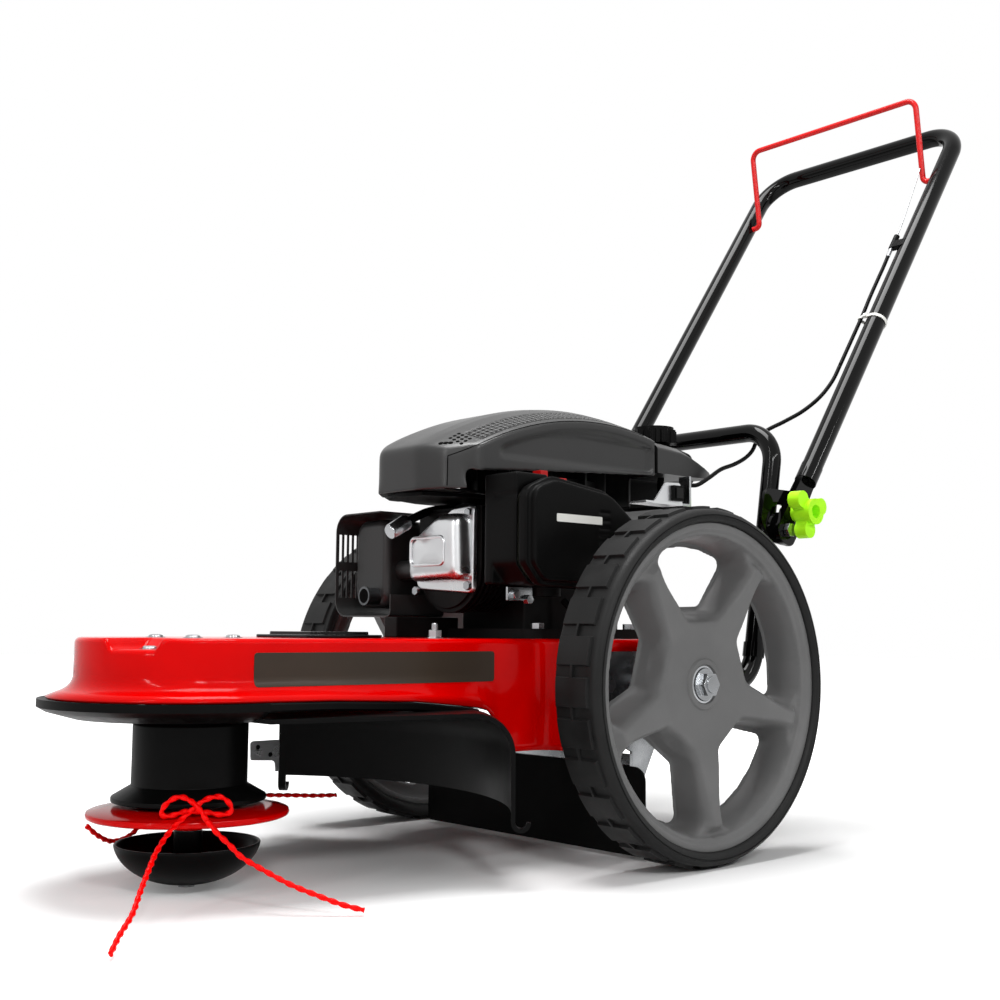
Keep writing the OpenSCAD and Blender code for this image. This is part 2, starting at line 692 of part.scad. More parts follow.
module hoop_frame() {
    sleeve = 11;
    color("#101010") difference() {
        union() {
            hoop_upper(hoop_r, 0);
            hoop_foot(hoop_r, 0);
            hoop_sleeve(hoop_r + 1.5, -sleeve / 2, sleeve * 1.5);
        }
        hoop_upper(hoop_r - tube_wall, 4);
        hoop_foot(hoop_r - tube_wall, 1);
        hoop_sleeve(hoop_r - tube_wall - 1.5, -3, 11);
    }
}

module hoop_sleeve(r, start, length) {
    for (side = [-1, 1]) leaning(hoop_joint, hoop_lean) translate([side * hoop_y, start, 0])
        rotate([-90, 0, 0]) cylinder(r = r, h = length);
}

module bracket_outline() {
    difference() {
        polygon(rounded([[pivot[0] + 18, pivot[1] - 14], [pivot[0] - 22, pivot[1] - 18], [pivot[0] - 34, pivot[1] - 2],
            [pivot[0] - 46, pivot[1] + 42], [pivot[0] - 28, pivot[1] + 48], [pivot[0] + 28, pivot[1] + 48],
            [pivot[0] + 38, pivot[1] + 10]], [12, 12, 12, 12, 6, 12, 14]));
        translate(pivot) circle(r = pivot_bolt_r);
        translate([pivot[0] - 30, pivot[1] + 41]) circle(r = 5);
        translate(pivot) clamp_slot();
    }
}

// Curved slot that lets the clamp bolt travel as the handle folds
module clamp_slot() {
    slot_r = clamp_bolt_r + 0.4;
    rest = 90 + handle_lean;
    difference() {
        circle(r = knob_up + slot_r);
        circle(r = knob_up - slot_r);
        polygon([[0, 0], [80 * cos(rest), 80 * sin(rest)], [-80, 80], [-80, -80], [80, -80],
            [80 * cos(rest - 108), 80 * sin(rest - 108)]]);
    }
    for (a = [rest, rest - 108]) translate([knob_up * cos(a), knob_up * sin(a)]) circle(r = slot_r);
}

module handle_brackets() {
    post_z = pivot[1] + 40;
    post_x = hoop_top[0] + (hoop_top[1] - post_z) * tan(hoop_lean);
    color("#101010") for (side = [0, 1]) mirror([0, side, 0]) {
        translate([0, flat_in, 0]) rotate([90, 0, 0]) linear_extrude(bracket_t) bracket_outline();
        translate([post_x - 7, flat_in - bracket_t - stand_off, post_z - 3]) cube([14, stand_off + 1, 10]);
    }
}

module pivot_bolts() {
    color("silver") for (side = [0, 1]) mirror([0, side, 0]) {
        translate([pivot[0], flat_in - bracket_t, pivot[1]]) rotate([-90, 0, 0])
            cylinder(r = pivot_bolt_r, h = bracket_t + flat_t + move_gap);
        translate([pivot[0], flat_out + move_gap, pivot[1]]) rotate([-90, 0, 0]) cylinder(r = 8.5, h = 6, $fn = 6);
        translate([pivot[0], flat_in - bracket_t - stand_off, pivot[1]]) rotate([-90, 0, 0])
            cylinder(r = 8.5, h = stand_off, $fn = 6);
    }
}

module handlebar() {
    color("#101010") difference() {
        union() {
            leaning(pivot, handle_lean) difference() {
                u_rod(handle_y, handle_len, tube_r, grip_bend, flat_len);
                u_rod(handle_y, handle_len, tube_r - tube_wall, grip_bend, flat_len - 1);
            }
            for (side = [0, 1]) mirror([0, side, 0]) {
                leaning(pivot, handle_lean) translate([handle_y, flat_len - 10, 0]) rotate([-90, 0, 0])
                    cylinder(r = tube_r + 0.6, h = 24);
                translate([0, flat_out, 0]) rotate([90, 0, 0]) linear_extrude(flat_t)
                    polygon(rounded([on_leg(-16, -flat_w / 2), on_leg(-16, flat_w / 2),
                        on_leg(flat_len, flat_w / 2 - 5), on_leg(flat_len, 5 - flat_w / 2)], [14, 14, 0, 0]));
            }
        }
        for (side = [0, 1]) mirror([0, side, 0]) {
            translate([pivot[0], flat_in - 1, pivot[1]]) rotate([-90, 0, 0])
                cylinder(r = pivot_bolt_r + run_fit, h = flat_t + 2);
            translate([on_leg(knob_up)[0], flat_in - 1, on_leg(knob_up)[1]]) rotate([-90, 0, 0])
                cylinder(r = clamp_bolt_r + run_fit, h = flat_t + 2);
            translate([on_leg(bail_s)[0], 0, on_leg(bail_s)[1]]) rotate([-90, 0, 0])
                cylinder(r = bail_r + run_fit, h = handle_y);
        }
    }
}

// Three-lobed clamp knobs, each moulded on its carriage bolt
module knob_shape() {
    lobe_r = 10;
    depth = 15;
    neck = 8;
    reach = flat_t + bracket_t + move_gap;
    difference() {
        union() {
            cylinder(r = 10, h = neck + 1);
            translate([0, 0, neck]) {
                cylinder(r = 15, h = depth + 6);
                for (a = [80, 200, 320]) rotate([0, 0, a]) {
                    translate([knob_r - lobe_r, 0, 0]) cylinder(r = lobe_r, h = depth);
                    translate([0, -lobe_r * 0.8, 0]) cube([knob_r - lobe_r, lobe_r * 1.6, depth]);
                }
            }
        }
        translate([0, 0, neck + depth - 4]) cylinder(r = 8, h = 20);
    }
    translate([0, 0, -reach - 2]) cylinder(r = clamp_bolt_r, h = reach + 4);
    translate([0, 0, -reach - 4]) cylinder(r = 8, h = 3.5);
}

module placed_knob() {
    translate([on_leg(knob_up)[0], flat_out + move_gap, on_leg(knob_up)[1]]) rotate([-90, 0, 0]) knob_shape();
}

module left_knob() {
    color("#bfff1a") placed_knob();
}

module right_knob() {
    color("#bfff1a") mirror([0, 1, 0]) placed_knob();
}

// Rod bail whose lower ends hook outward into the handle's legs
module bail() {
    hook_r = 8;
    stub = handle_y - tube_r + 9 - bail_y - hook_r;
    color("#d92a2a") leaning(on_leg(bail_s), -bail_lean) union() {
        u_rod(bail_y, bail_len, bail_r, 14, hook_r);
        for (side = [0, 1]) mirror([side, 0, 0]) {
            translate([bail_y + hook_r, hook_r, 0]) rotate([0, 0, 180]) rotate_extrude(angle = 90)
                translate([hook_r, 0]) circle(r = bail_r);
            translate([bail_y + hook_r, 0, 0]) rotate([0, 90, 0]) cylinder(r = bail_r, h = stub);
        }
    }
}

// Clip round the left leg with the cable's adjuster barrel beside it
module cable_clip() {
    s = 488;
    beside = 18.5;
    before = 10;
    color("#181818") leaning(pivot, handle_lean) union() {
        translate([handle_y, s - 9, 0]) rotate([-90, 0, 0]) difference() {
            cylinder(r = tube_r + 3, h = 18);
            translate([0, 0, -1]) cylinder(r = tube_r, h = 20);
        }
        translate([handle_y - beside, s - 20, before]) rotate([-90, 0, 0]) cylinder(r = 4, h = 40);
        translate([handle_y - beside - 1, s - 6, before - 6]) cube([6, 12, 8]);
    }
}

module handle_cable() {
    color("#1a1a1a") cord(handle_cable_route, cable_r, 2);
}

module engine_cable() {
    color("#1a1a1a") cord(engine_cable_route, cable_r, 2);
}

module bail_wire() {
    color("silver") cord(bail_wire_route, bail_wire_r, 2);
}

// Trimmer head
module spindle_housing() {
    wall = 4;
    tube = bearing_r + 5;
    color("#141414") translate([head_x, 0, 0]) difference() {
        union() {
            rotate_extrude() polygon([[housing_r - wall, housing_bottom + 9], [housing_r - wall, housing_top - wall],
                [tube, housing_top - wall], [tube, bearing_low - 2], [bearing_r - 4, bearing_low - 2],
                [bearing_r - 4, housing_top],
                [housing_r - 3, housing_top], [housing_r, housing_top - 3], [housing_r, housing_bottom + 14],
                [collar_r, housing_bottom + 4], [collar_r, housing_bottom], [housing_r - wall, housing_bottom]]);
            for (a = [60:120:300]) rotate([0, 0, a]) translate([bolt_ring, 0, housing_top])
                translate([0, 0, -1]) cylinder(r = 7.5, h = deck_in - housing_top + 1);
        }
        translate([0, 0, bearing_low]) cylinder(r = bearing_r, h = bearing_h);
        translate([0, 0, bearing_high]) cylinder(r = bearing_r, h = bearing_h);
        for (a = [60:120:300]) rotate([0, 0, a]) translate([bolt_ring, 0, housing_bottom])
            cylinder(r = clamp_bolt_r, h = deck_top);
    }
}

module spindle_bearings() {
    color("silver") for (z = [bearing_low, bearing_high]) translate([head_x, 0, z]) difference() {
        cylinder(r = bearing_r, h = bearing_h);
        translate([0, 0, -1]) cylinder(r = spindle_r + run_fit, h = bearing_h + 2);
    }
}

module spindle_bolts() {
    color("silver") for (a = [60:120:300])
        translate([head_x + bolt_ring * cos(a), bolt_ring * sin(a), 0]) {
            translate([0, 0, housing_top - 14]) cylinder(r = clamp_bolt_r, h = deck_top - housing_top + 14);
            translate([0, 0, deck_top]) cylinder(r = 7.5, h = 5.5, $fn = 6);
            translate([0, 0, housing_top - 11]) cylinder(r = 7.2, h = 7, $fn = 6);
        }
}

module spindle() {
    color("silver") translate([head_x, 0, bowl_t + 12]) cylinder(r = spindle_r, h = spindle_top - bowl_t - 12);
}

module line_disk() {
    hub = 32;
    lower = disk_z - 18;
    color("red") translate([head_x, 0, 0]) rotate_extrude() polygon(rounded([[spindle_r, lower],
        [hub, lower], [hub + 10, lower + 4], [disk_r - 8, lower + 2], [disk_r, lower + 5], [disk_r, lower + 13],
        [disk_r - 6, disk_z - 1], [housing_r, disk_z - 3], [hub, disk_z + 3], [spindle_r, disk_z + 3]],
        [0, 3, 6, 4, 3, 4, 3, 8, 2, 0], 3));
}

module ground_bowl() {
    slope = [[bowl_flat, 0], [ball_r * 0.6, ball_h * 0.2], [ball_r * 0.86, ball_h * 0.55], [ball_r, ball_h]];
    color("#1a1a1a") translate([head_x, 0, 0]) difference() {
        rotate_extrude() polygon([[0, 0], slope[0], slope[1], slope[2], slope[3], [ball_r - bowl_t, ball_h],
            slope[2] - [bowl_t, -1], slope[1] + [-bowl_t / 2, bowl_t], [bowl_boss, bowl_t + 2],
            [bowl_boss, disk_z - 19], [0, disk_z - 19]]);
        translate([0, 0, bowl_t + 12]) cylinder(r = spindle_r, h = disk_z);
        translate([0, 0, 1]) cylinder(r = 9, h = 8);
        cylinder(r = clamp_bolt_r, h = bowl_t + 13);
    }
}

module bowl_bolt() {
    color("silver") translate([head_x, 0, 0]) {
        translate([0, 0, 2]) cylinder(r = 8, h = 6, $fn = 6);
        translate([0, 0, 8]) cylinder(r = clamp_bolt_r, h = bowl_t + 4);
    }
}

module front_line() {
    color("#ff1010") cord(front_line_route, line_d / 2, 2);
}

module rear_line() {
    color("#ff1010") cord(rear_line_route, line_d / 2, 2);
}

// Belt drive under the deck
module pulley(r, bore) {
    difference() {
        rotate_extrude() polygon([[bore, 0], [r + 6, 0], [r + 6, 3], [r - 3, pulley_h / 2 - 3],
            [r - 3, pulley_h / 2 + 3], [r + 6, pulley_h - 3], [r + 6, pulley_h], [bore, pulley_h]]);
    }
}

module driven_pulley() {
    color("#606060") translate([head_x, 0, belt_z - pulley_h / 2]) pulley(pulley_r, spindle_r);
}

module drive_pulley() {
    color("#606060") translate([crank_x, 0, belt_z - pulley_h / 2]) pulley(pulley_r, crank_r);
}

// The belt runs straight between the pulleys and half round each
module drive_belt() {
    inner = pulley_r - 3 + move_gap;
    color("#181818") translate([0, 0, belt_z - 2.5]) {
        translate([head_x, 0, 0]) rotate([0, 0, -90]) rotate_extrude(angle = 180)
            translate([inner, 0]) square([belt_t, 5]);
        translate([crank_x, 0, 0]) rotate([0, 0, 90]) rotate_extrude(angle = 180)
            translate([inner, 0]) square([belt_t, 5]);
        for (y = [inner, -inner - belt_t]) translate([crank_x, y, 0]) cube([head_x - crank_x, belt_t, 5]);
    }
}

// Engine
engine_bolt_places = [[crank_x - 70, -82], [crank_x - 70, 82], [crank_x + 70, -82], [crank_x + 70, 82]];

module crankcase() {
    color("#242424") difference() {
        union() {
            translate([0, 0, deck_top]) linear_extrude(base_t) polygon(rounded([[case_back - 8, -93],
                [case_front + 8, -93], [case_front + 8, 93], [case_back - 8, 93]], 20));
            translate([0, 0, deck_top + base_t]) linear_extrude(cover_z - base_plate_t - deck_top - base_t)
                polygon(rounded([[case_back, -case_w], [case_front - 40, -case_w], [case_front - 20, -50],
                    [case_front - 20, 50], [case_front - 40, case_w], [case_back, case_w]], [34, 10, 6, 6, 10, 34]));
            for (i = [0:6]) translate([case_front - 22 + i * 7, 0, bore_z]) rotate([0, 90, 0])
                cylinder(r = fin_r, h = 3);
            translate([case_front - 40, 0, bore_z]) rotate([0, 90, 0]) cylinder(r = 40, h = 63);
            translate([oil_at[0], oil_at[1], deck_top + 60]) cylinder(r = 10, h = 40);
            translate([oil_at[0] - 9, oil_at[1], deck_top + 60]) cube([18, 1 - case_w - oil_at[1], 16]);
        }
        translate([crank_x, 0, deck_top - 1]) cylinder(r = crank_r + run_fit, h = 300);
        for (p = engine_bolt_places) translate([p[0], p[1], deck_top - 1]) cylinder(r = clamp_bolt_r, h = base_t + 2);
    }
}

module cylinder_head() {
    back = case_front + 23;
    round_z = bore_z - 8;
    color("#2c2c2c") union() {
        translate([back, -head_w, round_z]) cube([head_front - back, 2 * head_w, bore_z + 48 - round_z]);
        translate([back, 0, round_z]) rotate([0, 90, 0]) cylinder(r = head_w, h = head_front - back);
        for (i = [0:2]) translate([back + 2 + i * 7, 0, 0]) {
            translate([0, -head_w - 5, round_z]) cube([3, 2 * head_w + 10, bore_z + 52 - round_z]);
            translate([0, 0, round_z]) rotate([0, 90, 0]) cylinder(r = head_w + 5, h = 3);
        }
    }
}

module valve_cover() {
    color("#d8d8d8") union() {
        translate([head_front, 0, 0]) rotate([90, 0, 90]) linear_extrude(5)
            polygon(rounded([[-head_w, bore_z - 38], [head_w, bore_z - 38], [head_w, bore_z + 50],
                [head_w - 42, bore_z + 50], [-head_w, bore_z + 14]], [8, 8, 8, 14, 14]));
        translate([head_front + 5, 0, 0]) rotate([90, 0, 90]) linear_extrude(valve_front - head_front - 9)
            polygon(rounded([[-41, bore_z - 34], [37, bore_z - 34], [37, bore_z + 45], [-2, bore_z + 45],
                [-41, bore_z + 16]], [7, 7, 9, 24, 20]));
        translate([valve_front - 5, 0, 0]) rotate([90, 0, 90]) linear_extrude(5)
            polygon(rounded([[-38, bore_z - 31], [34, bore_z - 31], [34, bore_z + 42], [-1, bore_z + 42],
                [-38, bore_z + 14]], [6, 6, 8, 22, 18]));
    }
}

module engine_bolts() {
    color("silver") {
        for (p = engine_bolt_places) translate([p[0], p[1], 0]) {
            translate([0, 0, deck_in - 8]) cylinder(r = clamp_bolt_r, h = base_t + sheet + 8);
            translate([0, 0, deck_top + base_t]) cylinder(r = 7.2, h = 6, $fn = 6);
            translate([0, 0, deck_in - 7]) cylinder(r = 7.2, h = 7, $fn = 6);
        }
        for (p = [[head_w - 5, bore_z + 44], [head_w - 5, bore_z - 32], [-head_w + 3, bore_z - 36]])
            translate([head_front + 5, p[0], p[1]]) rotate([0, 90, 0]) cylinder(r = 5, h = 4, $fn = 6);
    }
}

// Plan of the cover: its left front corner is fuller than its right one
module cover_outline(off) {
    polygon(rounded([[cover_back + off, cover_w - off], [178 - off / 2, cover_w - 2 - off],
        [cover_front - 10 - off, 68 - off / 2], [cover_front - off, 36 - off / 2], [cover_front - off, off / 2 - 29],
        [190 - off * 0.7, off * 0.8 - 57], [166 - off / 2, off - 80], [135 - off / 3, off + 1 - cover_w],
        [cover_back + off, off - cover_w]], [6, 16, 10, 8, 8, 12, 12, 12, 6]));
}

module cover_base() {
    plate = [[cover_back, 0], [cover_back, 54], [150, 50], [cover_front - 12, 30], [cover_front - 4, 0]];
    color("#181818") difference() {
        union() {
            for (side = [0, 1]) mirror([0, side, 0]) translate([0, 0, cover_z - base_plate_t])
                linear_extrude(base_plate_t) polygon(plate);
            translate([tank_back + 40, -50, cover_z - base_plate_t])
                cube([cover_back - tank_back - 40 + 6, 100, base_plate_t]);
            translate([lever_at[0] - 24, 40, cover_z - base_plate_t]) cube([40, cover_w - 20, base_plate_t]);
        }
        translate([crank_x, 0, 0]) cylinder(r = crank_r + 8, h = 600);
    }
}

// The shell's cross-section: radius from the arch's axis, then distance from the middle plane
function arch_half(off) = [[arch_r - off, 30], [arch_r - 2 - off, 46], band_top - [off, off / 2],
    band_low - [off, off], [arch_r - 21 - off, cover_w - off], [250, cover_w - off]];
function arch_section(off) = concat(arch_half(off), mirror_y(arch_half(off)));

// Turns a cross-section about the arch's axis, over a range of angles from the front
module arched(start, sweep) {
    translate([arch_x, 0, arch_z]) rotate([90, 0, 0]) rotate([0, 0, start]) rotate_extrude(angle = sweep) children();
}

module cover_block(off) {
    intersection() {
        translate([0, 0, cover_z - (off > 0 ? 1 : 0)]) linear_extrude(150) cover_outline(off);
        arched(50, 80) polygon(arch_section(off));
    }
}

// Strip of the shoulder that the grille fills, grown outward and inward
module band_section(out, deep) {
    way = unit(band_low - band_top);
    normal = [-way[1], way[0]];
    high = band_top + way * band_edge;
    low = band_low - way * band_edge;
    polygon([high - normal * out, low - normal * out, low + normal * deep, high + normal * deep]);
}

module side_panel_outline() {
    polygon(rounded([[160, cover_z + 28], [160, cover_z + 44], [130, cover_z + 56], [42, cover_z + 67],
        [cover_back + 6, cover_z + 66], [cover_back + 6, cover_z + 37]], [4, 24, 30, 60, 6, 6]));
}

// Underside of the shell's sides, raised clear of the intake and the muffler
module side_notch_outline() {
    polygon([[cover_front - 28, cover_z - 2], [cover_front - 28, cover_z + 18], [72, cover_z + 26],
        [cover_back - 2, cover_z + 35], [cover_back - 2, cover_z - 2]]);
}

module engine_cover() {
    color("#2e2e2e") difference() {
        cover_block(0);
        cover_block(cover_t);
        for (side = [0, 1]) mirror([0, side, 0]) {
            arched(band_start[side], band_end - band_start[side]) band_section(12, 12);
            translate([0, cover_w + 10, 0]) rotate([90, 0, 0]) linear_extrude(50) side_notch_outline();
            translate([0, cover_w + 10, 0]) rotate([90, 0, 0]) linear_extrude(11.5) side_panel_outline();
        }
    }
}

// Perforated strips set in the two shoulders of the cover
module shoulder_grilles() {
    way = unit(band_low - band_top);
    color("#333333") for (side = [0, 1]) mirror([0, side, 0]) difference() {
        arched(band_start[side], band_end - band_start[side]) band_section(0, cover_t);
        for (row = [0, 1]) for (i = [0:grille_holes - 1]) {
            at = band_top + way * (9 + row * 10);
            turn = band_end - (i + 0.4 + row * 0.5) * (band_end - band_start[side]) / (grille_holes + 0.3);
            translate([arch_x, 0, arch_z]) rotate([0, -turn, 0]) translate([at[0], -at[1], 0])
                rotate([0, 0, atan2(way[0], way[1])]) rotate([0, 90, 0]) translate([0, 0, -6])
                    cylinder(r = 2.6, h = 12);
        }
    }
}

module flywheel() {
    color("#8a8a8a") translate([crank_x, 0, cover_z + 8]) difference() {
        union() {
            cylinder(r = flywheel_r - 12, h = 16);
            for (i = [0:11]) rotate([0, 0, i * 30]) translate([flywheel_r - 30, -1.5, 0]) cube([30, 3, 34]);
            cylinder(r = 26, h = 30);
        }
        translate([0, 0, -1]) cylinder(r = crank_r, h = 60);
    }
}

module crankshaft() {
    color("silver") translate([crank_x, 0, belt_z - pulley_h / 2 - 4])
        cylinder(r = crank_r, h = cover_z + 34 - belt_z + pulley_h / 2);
}

// Tank that carries the cover's arch on to a rounded tail
module fuel_tank() {
    side_view = rounded([[tank_front, tank_low], [tank_front, tank_high], [-164, tank_high - 9], [-198, tank_high - 23],
        [tank_back, tank_low + 8], [-204, tank_low]], [0, 0, 40, 16, 7, 4]);
    end_view = rounded([[-tank_w - 2, tank_low - 1], [-tank_w, tank_low + 24], [-46, tank_high], [46, tank_high],
        [tank_w, tank_low + 24], [tank_w + 2, tank_low - 1]], [0, 22, 40, 40, 22, 0]);
    plan = rounded([[tank_front, -tank_w - 2], [tank_front, tank_w + 2], [tank_back, tank_w - 14],
        [tank_back, 14 - tank_w]], [0, 0, 44, 44]);
    color("#242424") {
        intersection() {
            translate([0, 100, 0]) rotate([90, 0, 0]) linear_extrude(200) polygon(side_view);
            translate([tank_back - 10, 0, 0]) rotate([90, 0, 90]) linear_extrude(150) polygon(end_view);
            translate([0, 0, tank_low]) linear_extrude(90) polygon(plan);
        }
        translate([cap_at[0], cap_at[1], tank_low + 10]) cylinder(r = cap_d / 2 - 8, h = cap_low + 5 - tank_low - 10);
        translate([tank_back + 52, -36, cover_z]) cube([66, 72, tank_low - cover_z + 1]);
    }
}

// Low cap with broad grip lobes
module fuel_cap() {
    lobes = 10;
    inner = cap_d / 2 - 8 + run_fit;
    color("#151515") translate([cap_at[0], cap_at[1], cap_low]) difference() {
        union() {
            cylinder(r = cap_d / 2 - 4, h = cap_h);
            for (i = [0:lobes - 1]) rotate([0, 0, i * 360 / lobes]) translate([cap_d / 2 - 5, 0, 0])
                cylinder(r = 5, h = cap_h - 4);
        }
        translate([0, 0, -1]) cylinder(r = inner, h = 7);
        translate([0, 0, cap_h - 3]) cylinder(r = cap_d / 2 - 9, h = 4);
    }
}

module filter_outline(off, nose) {
    polygon(rounded([[filter_back + off, filter_low + off], [filter_front - 20, filter_low + 2 + off],
        [filter_front + nose - off, filter_low + 24], [filter_front + nose - off, filter_high - 14],
        [filter_front - 34, filter_high + 1 - off], [60, filter_high - 9 - off], [filter_back + off, filter_high - 42]],
        [26, 14, 10, 16, 30, 36, 26]));
}

module filter_housing() {
    wall = 3;
    color("#222222") difference() {
        union() {
            translate([0, filter_mid, 0]) rotate([90, 0, 0]) linear_extrude(filter_mid - filter_in) filter_outline(1, 0);
            translate([filter_front - 44, 0, 0]) rotate([90, 0, 90]) linear_extrude(43)
                polygon(rounded([[58, filter_low + 4], [filter_in + 2, filter_low + 4], [filter_in + 2, filter_high + 4],
                    [51, filter_high + 2], [51, filter_high - 12], [58, filter_high - 30]], [10, 0, 0, 5, 6, 10]));
            translate([filter_front - 44, filter_in, filter_high - 16]) cube([43, filter_mid - filter_in, 20]);
            translate([choke_at[0], choke_at[1], filter_high - 14]) cylinder(r = 6, h = 14);
        }
        translate([0, filter_mid + 1, 0]) rotate([90, 0, 0]) linear_extrude(filter_mid - filter_in - 11)
            filter_outline(1 + wall, 0);
        translate([80, filter_in - 1, filter_low + 50]) rotate([-90, 0, 0]) cylinder(r = 14, h = 30);
    }
}

module filter_element() {
    color("#777766") translate([0, filter_mid - 2, 0]) rotate([90, 0, 0]) linear_extrude(filter_mid - filter_in - 14)
        filter_outline(8, 0);
}

module filter_cover() {
    color("#262626") difference() {
        union() {
            translate([0, filter_out - 8, 0]) rotate([90, 0, 0]) linear_extrude(filter_out - 8 - filter_mid - filter_gap)
                filter_outline(0, filter_nose);
            translate([0, filter_out - 8, 0]) rotate([90, 0, 0])
                linear_extrude(filter_out - 8 - filter_mid - move_gap) filter_outline(5, filter_nose);
            translate([0, filter_out, 0]) rotate([90, 0, 0]) linear_extrude(8) filter_outline(5, filter_nose);
        }
        translate([0, filter_out - 5, 0]) rotate([90, 0, 0]) linear_extrude(filter_out) filter_outline(9, filter_nose);
        for (i = [0:4]) translate([62, filter_out - 1, filter_low + 44 + i * 8]) cube([16, 3, 3]);
    }
}

module carburettor() {
    color("#9a9a9a") difference() {
        union() {
            translate([62, case_w, filter_low + 32]) cube([36, filter_in - case_w, 36]);
            translate([80, (case_w + filter_in) / 2, filter_low - 6]) cylinder(r = 15, h = 40);
        }
        translate([80, 0, filter_low + 50]) rotate([-90, 0, 0]) cylinder(r = 12, h = 200);
    }
}

choke_at = [92, 116];

module choke_lever() {
    color("#d02020") translate([choke_at[0], choke_at[1], filter_high]) {
        cylinder(r = 8, h = 4);
        translate([-4, -4, 0]) cube([34, 8, 4]);
        translate([22, -6, 0]) cube([10, 12, 10]);
    }
}

module muffler() {
    low = muffler_box[0];
    high = muffler_box[1];
    wall = 2.5;
    color("#3a3a3a") difference() {
        union() {
            translate([0, 0, low[2]]) linear_extrude(high[2] - low[2]) polygon(rounded([[low[0], low[1]],
                [high[0], low[1]], [high[0], high[1]], [low[0], high[1]]], 16));
            translate([136, high[1] - 2, bore_z - 12]) rotate([-90, 0, 0]) cylinder(r = 11, h = -high[1] - head_w - 4);
            translate([high[0] - 4, outlet_y, outlet_z]) rotate([0, 90, 0]) cylinder(r = 11, h = 30);
        }
        translate([0, 0, low[2] + wall]) linear_extrude(high[2] - low[2] - 2 * wall)
            polygon(rounded([[low[0] + wall, low[1] + wall], [high[0] - wall, low[1] + wall],
                [high[0] - wall, high[1] - wall], [low[0] + wall, high[1] - wall]], 14));
        translate([high[0] - 20, outlet_y, outlet_z]) rotate([0, 90, 0]) cylinder(r = 9, h = 60);
    }
}

// Slotted heat guard over the outer side, front edge and top of the muffler, on two spacers
module muffler_guard() {
    low = muffler_box[0] - [-10, guard_gap + guard_t, 4];
    high = muffler_box[1] + [guard_gap + guard_t + 8, -14, guard_gap + guard_t];
    front_w = 42;
    color("#1c1c1c") {
        difference() {
            union() {
                translate([0, 0, low[2]]) linear_extrude(high[2] - low[2])
                    polygon(rounded([[low[0], low[1]], [high[0], low[1]], [high[0], low[1] + front_w],
                        [high[0] - guard_t, low[1] + front_w], [high[0] - guard_t, low[1] + guard_t],
                        [low[0], low[1] + guard_t]], [0, 14, 0, 0, 12, 0]));
                translate([0, 0, high[2] - guard_t]) linear_extrude(guard_t)
                    polygon(rounded([[low[0], low[1]], [high[0], low[1]], [high[0], high[1]], [low[0], high[1]]],
                        [0, 14, 8, 0]));
            }
            for (i = [0, 1]) for (k = [0, 1])
                translate([high[0] - guard_t - 1, low[1] + 18 + i * 11, low[2] + 12 + k * 50])
                    cube([guard_t + 2, 5, 38]);
            for (i = [0:3]) for (k = [0, 1])
                translate([low[0] + 10 + i * 14, low[1] - 1, low[2] + 12 + k * 50]) cube([6, guard_t + 2, 38]);
            for (i = [0:3]) translate([high[0] - 44, low[1] + 20 + i * 16, high[2] - guard_t - 1])
                cube([30, 6, guard_t + 2]);
        }
        for (z = [8, 106]) translate([124, low[1] + guard_t / 2, low[2] + z]) rotate([-90, 0, 0])
            cylinder(r = 3.5, h = guard_gap + guard_t / 2);
    }
}

plug_base = [head_front, 14 - head_w, bore_z + 38];

// Plug with the boot pushed over its end
module spark_plug() {
    color("#b8b8b8") translate(plug_base) rotate([0, 90, 0]) union() {
        cylinder(r = 9, h = 8, $fn = 6);
        cylinder(r = 6, h = 16);
        translate([0, 0, 14]) cylinder(r = 8, h = 22);
    }
}

module control_bracket() {
    color("silver") union() {
        translate([lever_at[0] - 20, lever_at[1] - 10, cover_z]) cube([36, 16, 3]);
        translate([lever_at[0] - 20, lever_at[1] - 10, cover_z + 3]) cube([3, 16, 32]);
        translate([lever_at[0], lever_at[1], cover_z + 3]) cylinder(r = 3.5, h = 14);
    }
}

module brake_lever() {
    color("silver") translate([lever_at[0], lever_at[1], cover_z + 5]) difference() {
        union() {
            cylinder(r = 8, h = 4);
            translate([0, -4, 0]) cube([26, 8, 4]);
        }
        translate([0, 0, -1]) cylinder(r = 3.5 + run_fit, h = 8);
    }
}

oil_at = [-30, -case_w - 16];

module oil_cap() {
    color("#e0c020") translate([oil_at[0], oil_at[1], deck_top + 100]) union() {
        cylinder(r = 15, h = 10);
        translate([-3, -13, 10]) cube([6, 26, 8]);
    }
}

module starter_grip() {
    color("#151515") along(grip_at, grip_at + grip_way) {
        translate([0, 0, rope_len]) cylinder(r = 8, h = 14);
        translate([0, -28, rope_len + 19]) rotate([-90, 0, 0]) cylinder(r = 9, h = 56);
    }
}

module starter_rope() {
    color("#222222") along(grip_at, grip_at + grip_way) translate([0, 0, 2]) cylinder(r = 2, h = rope_len - 2);
}

module fuel_hose() {
    color("#111111") cord(fuel_hose_route, fuel_hose_r, 2);
}

deck();
debris_shield();
belt_cover();
rear_flap();
flap_bar();
axle_brackets();
stub_axles();
axle_nuts();
hoop_frame();
handle_brackets();
pivot_bolts();
spindle_housing();
spindle_bearings();
spindle_bolts();
drive_belt();
crankcase();
cylinder_head();
valve_cover();
engine_bolts();
cover_base();
engine_cover();
shoulder_grilles();
fuel_tank();
fuel_cap();
filter_housing();
filter_element();
filter_cover();
carburettor();
choke_lever();
muffler();
muffler_guard();
spark_plug();
flywheel();
crankshaft();
drive_pulley();
control_bracket();
brake_lever();
oil_cap();
starter_grip();
starter_rope();
fuel_hose();
spindle();
driven_pulley();
line_disk();
ground_bowl();
bowl_bolt();
front_line();
rear_line();
left_tyre();
left_rim();
right_tyre();
right_rim();
handlebar();
cable_clip();
handle_cable();
engine_cable();
bail_wire();
left_knob();
right_knob();
bail();
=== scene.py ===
import json
import math

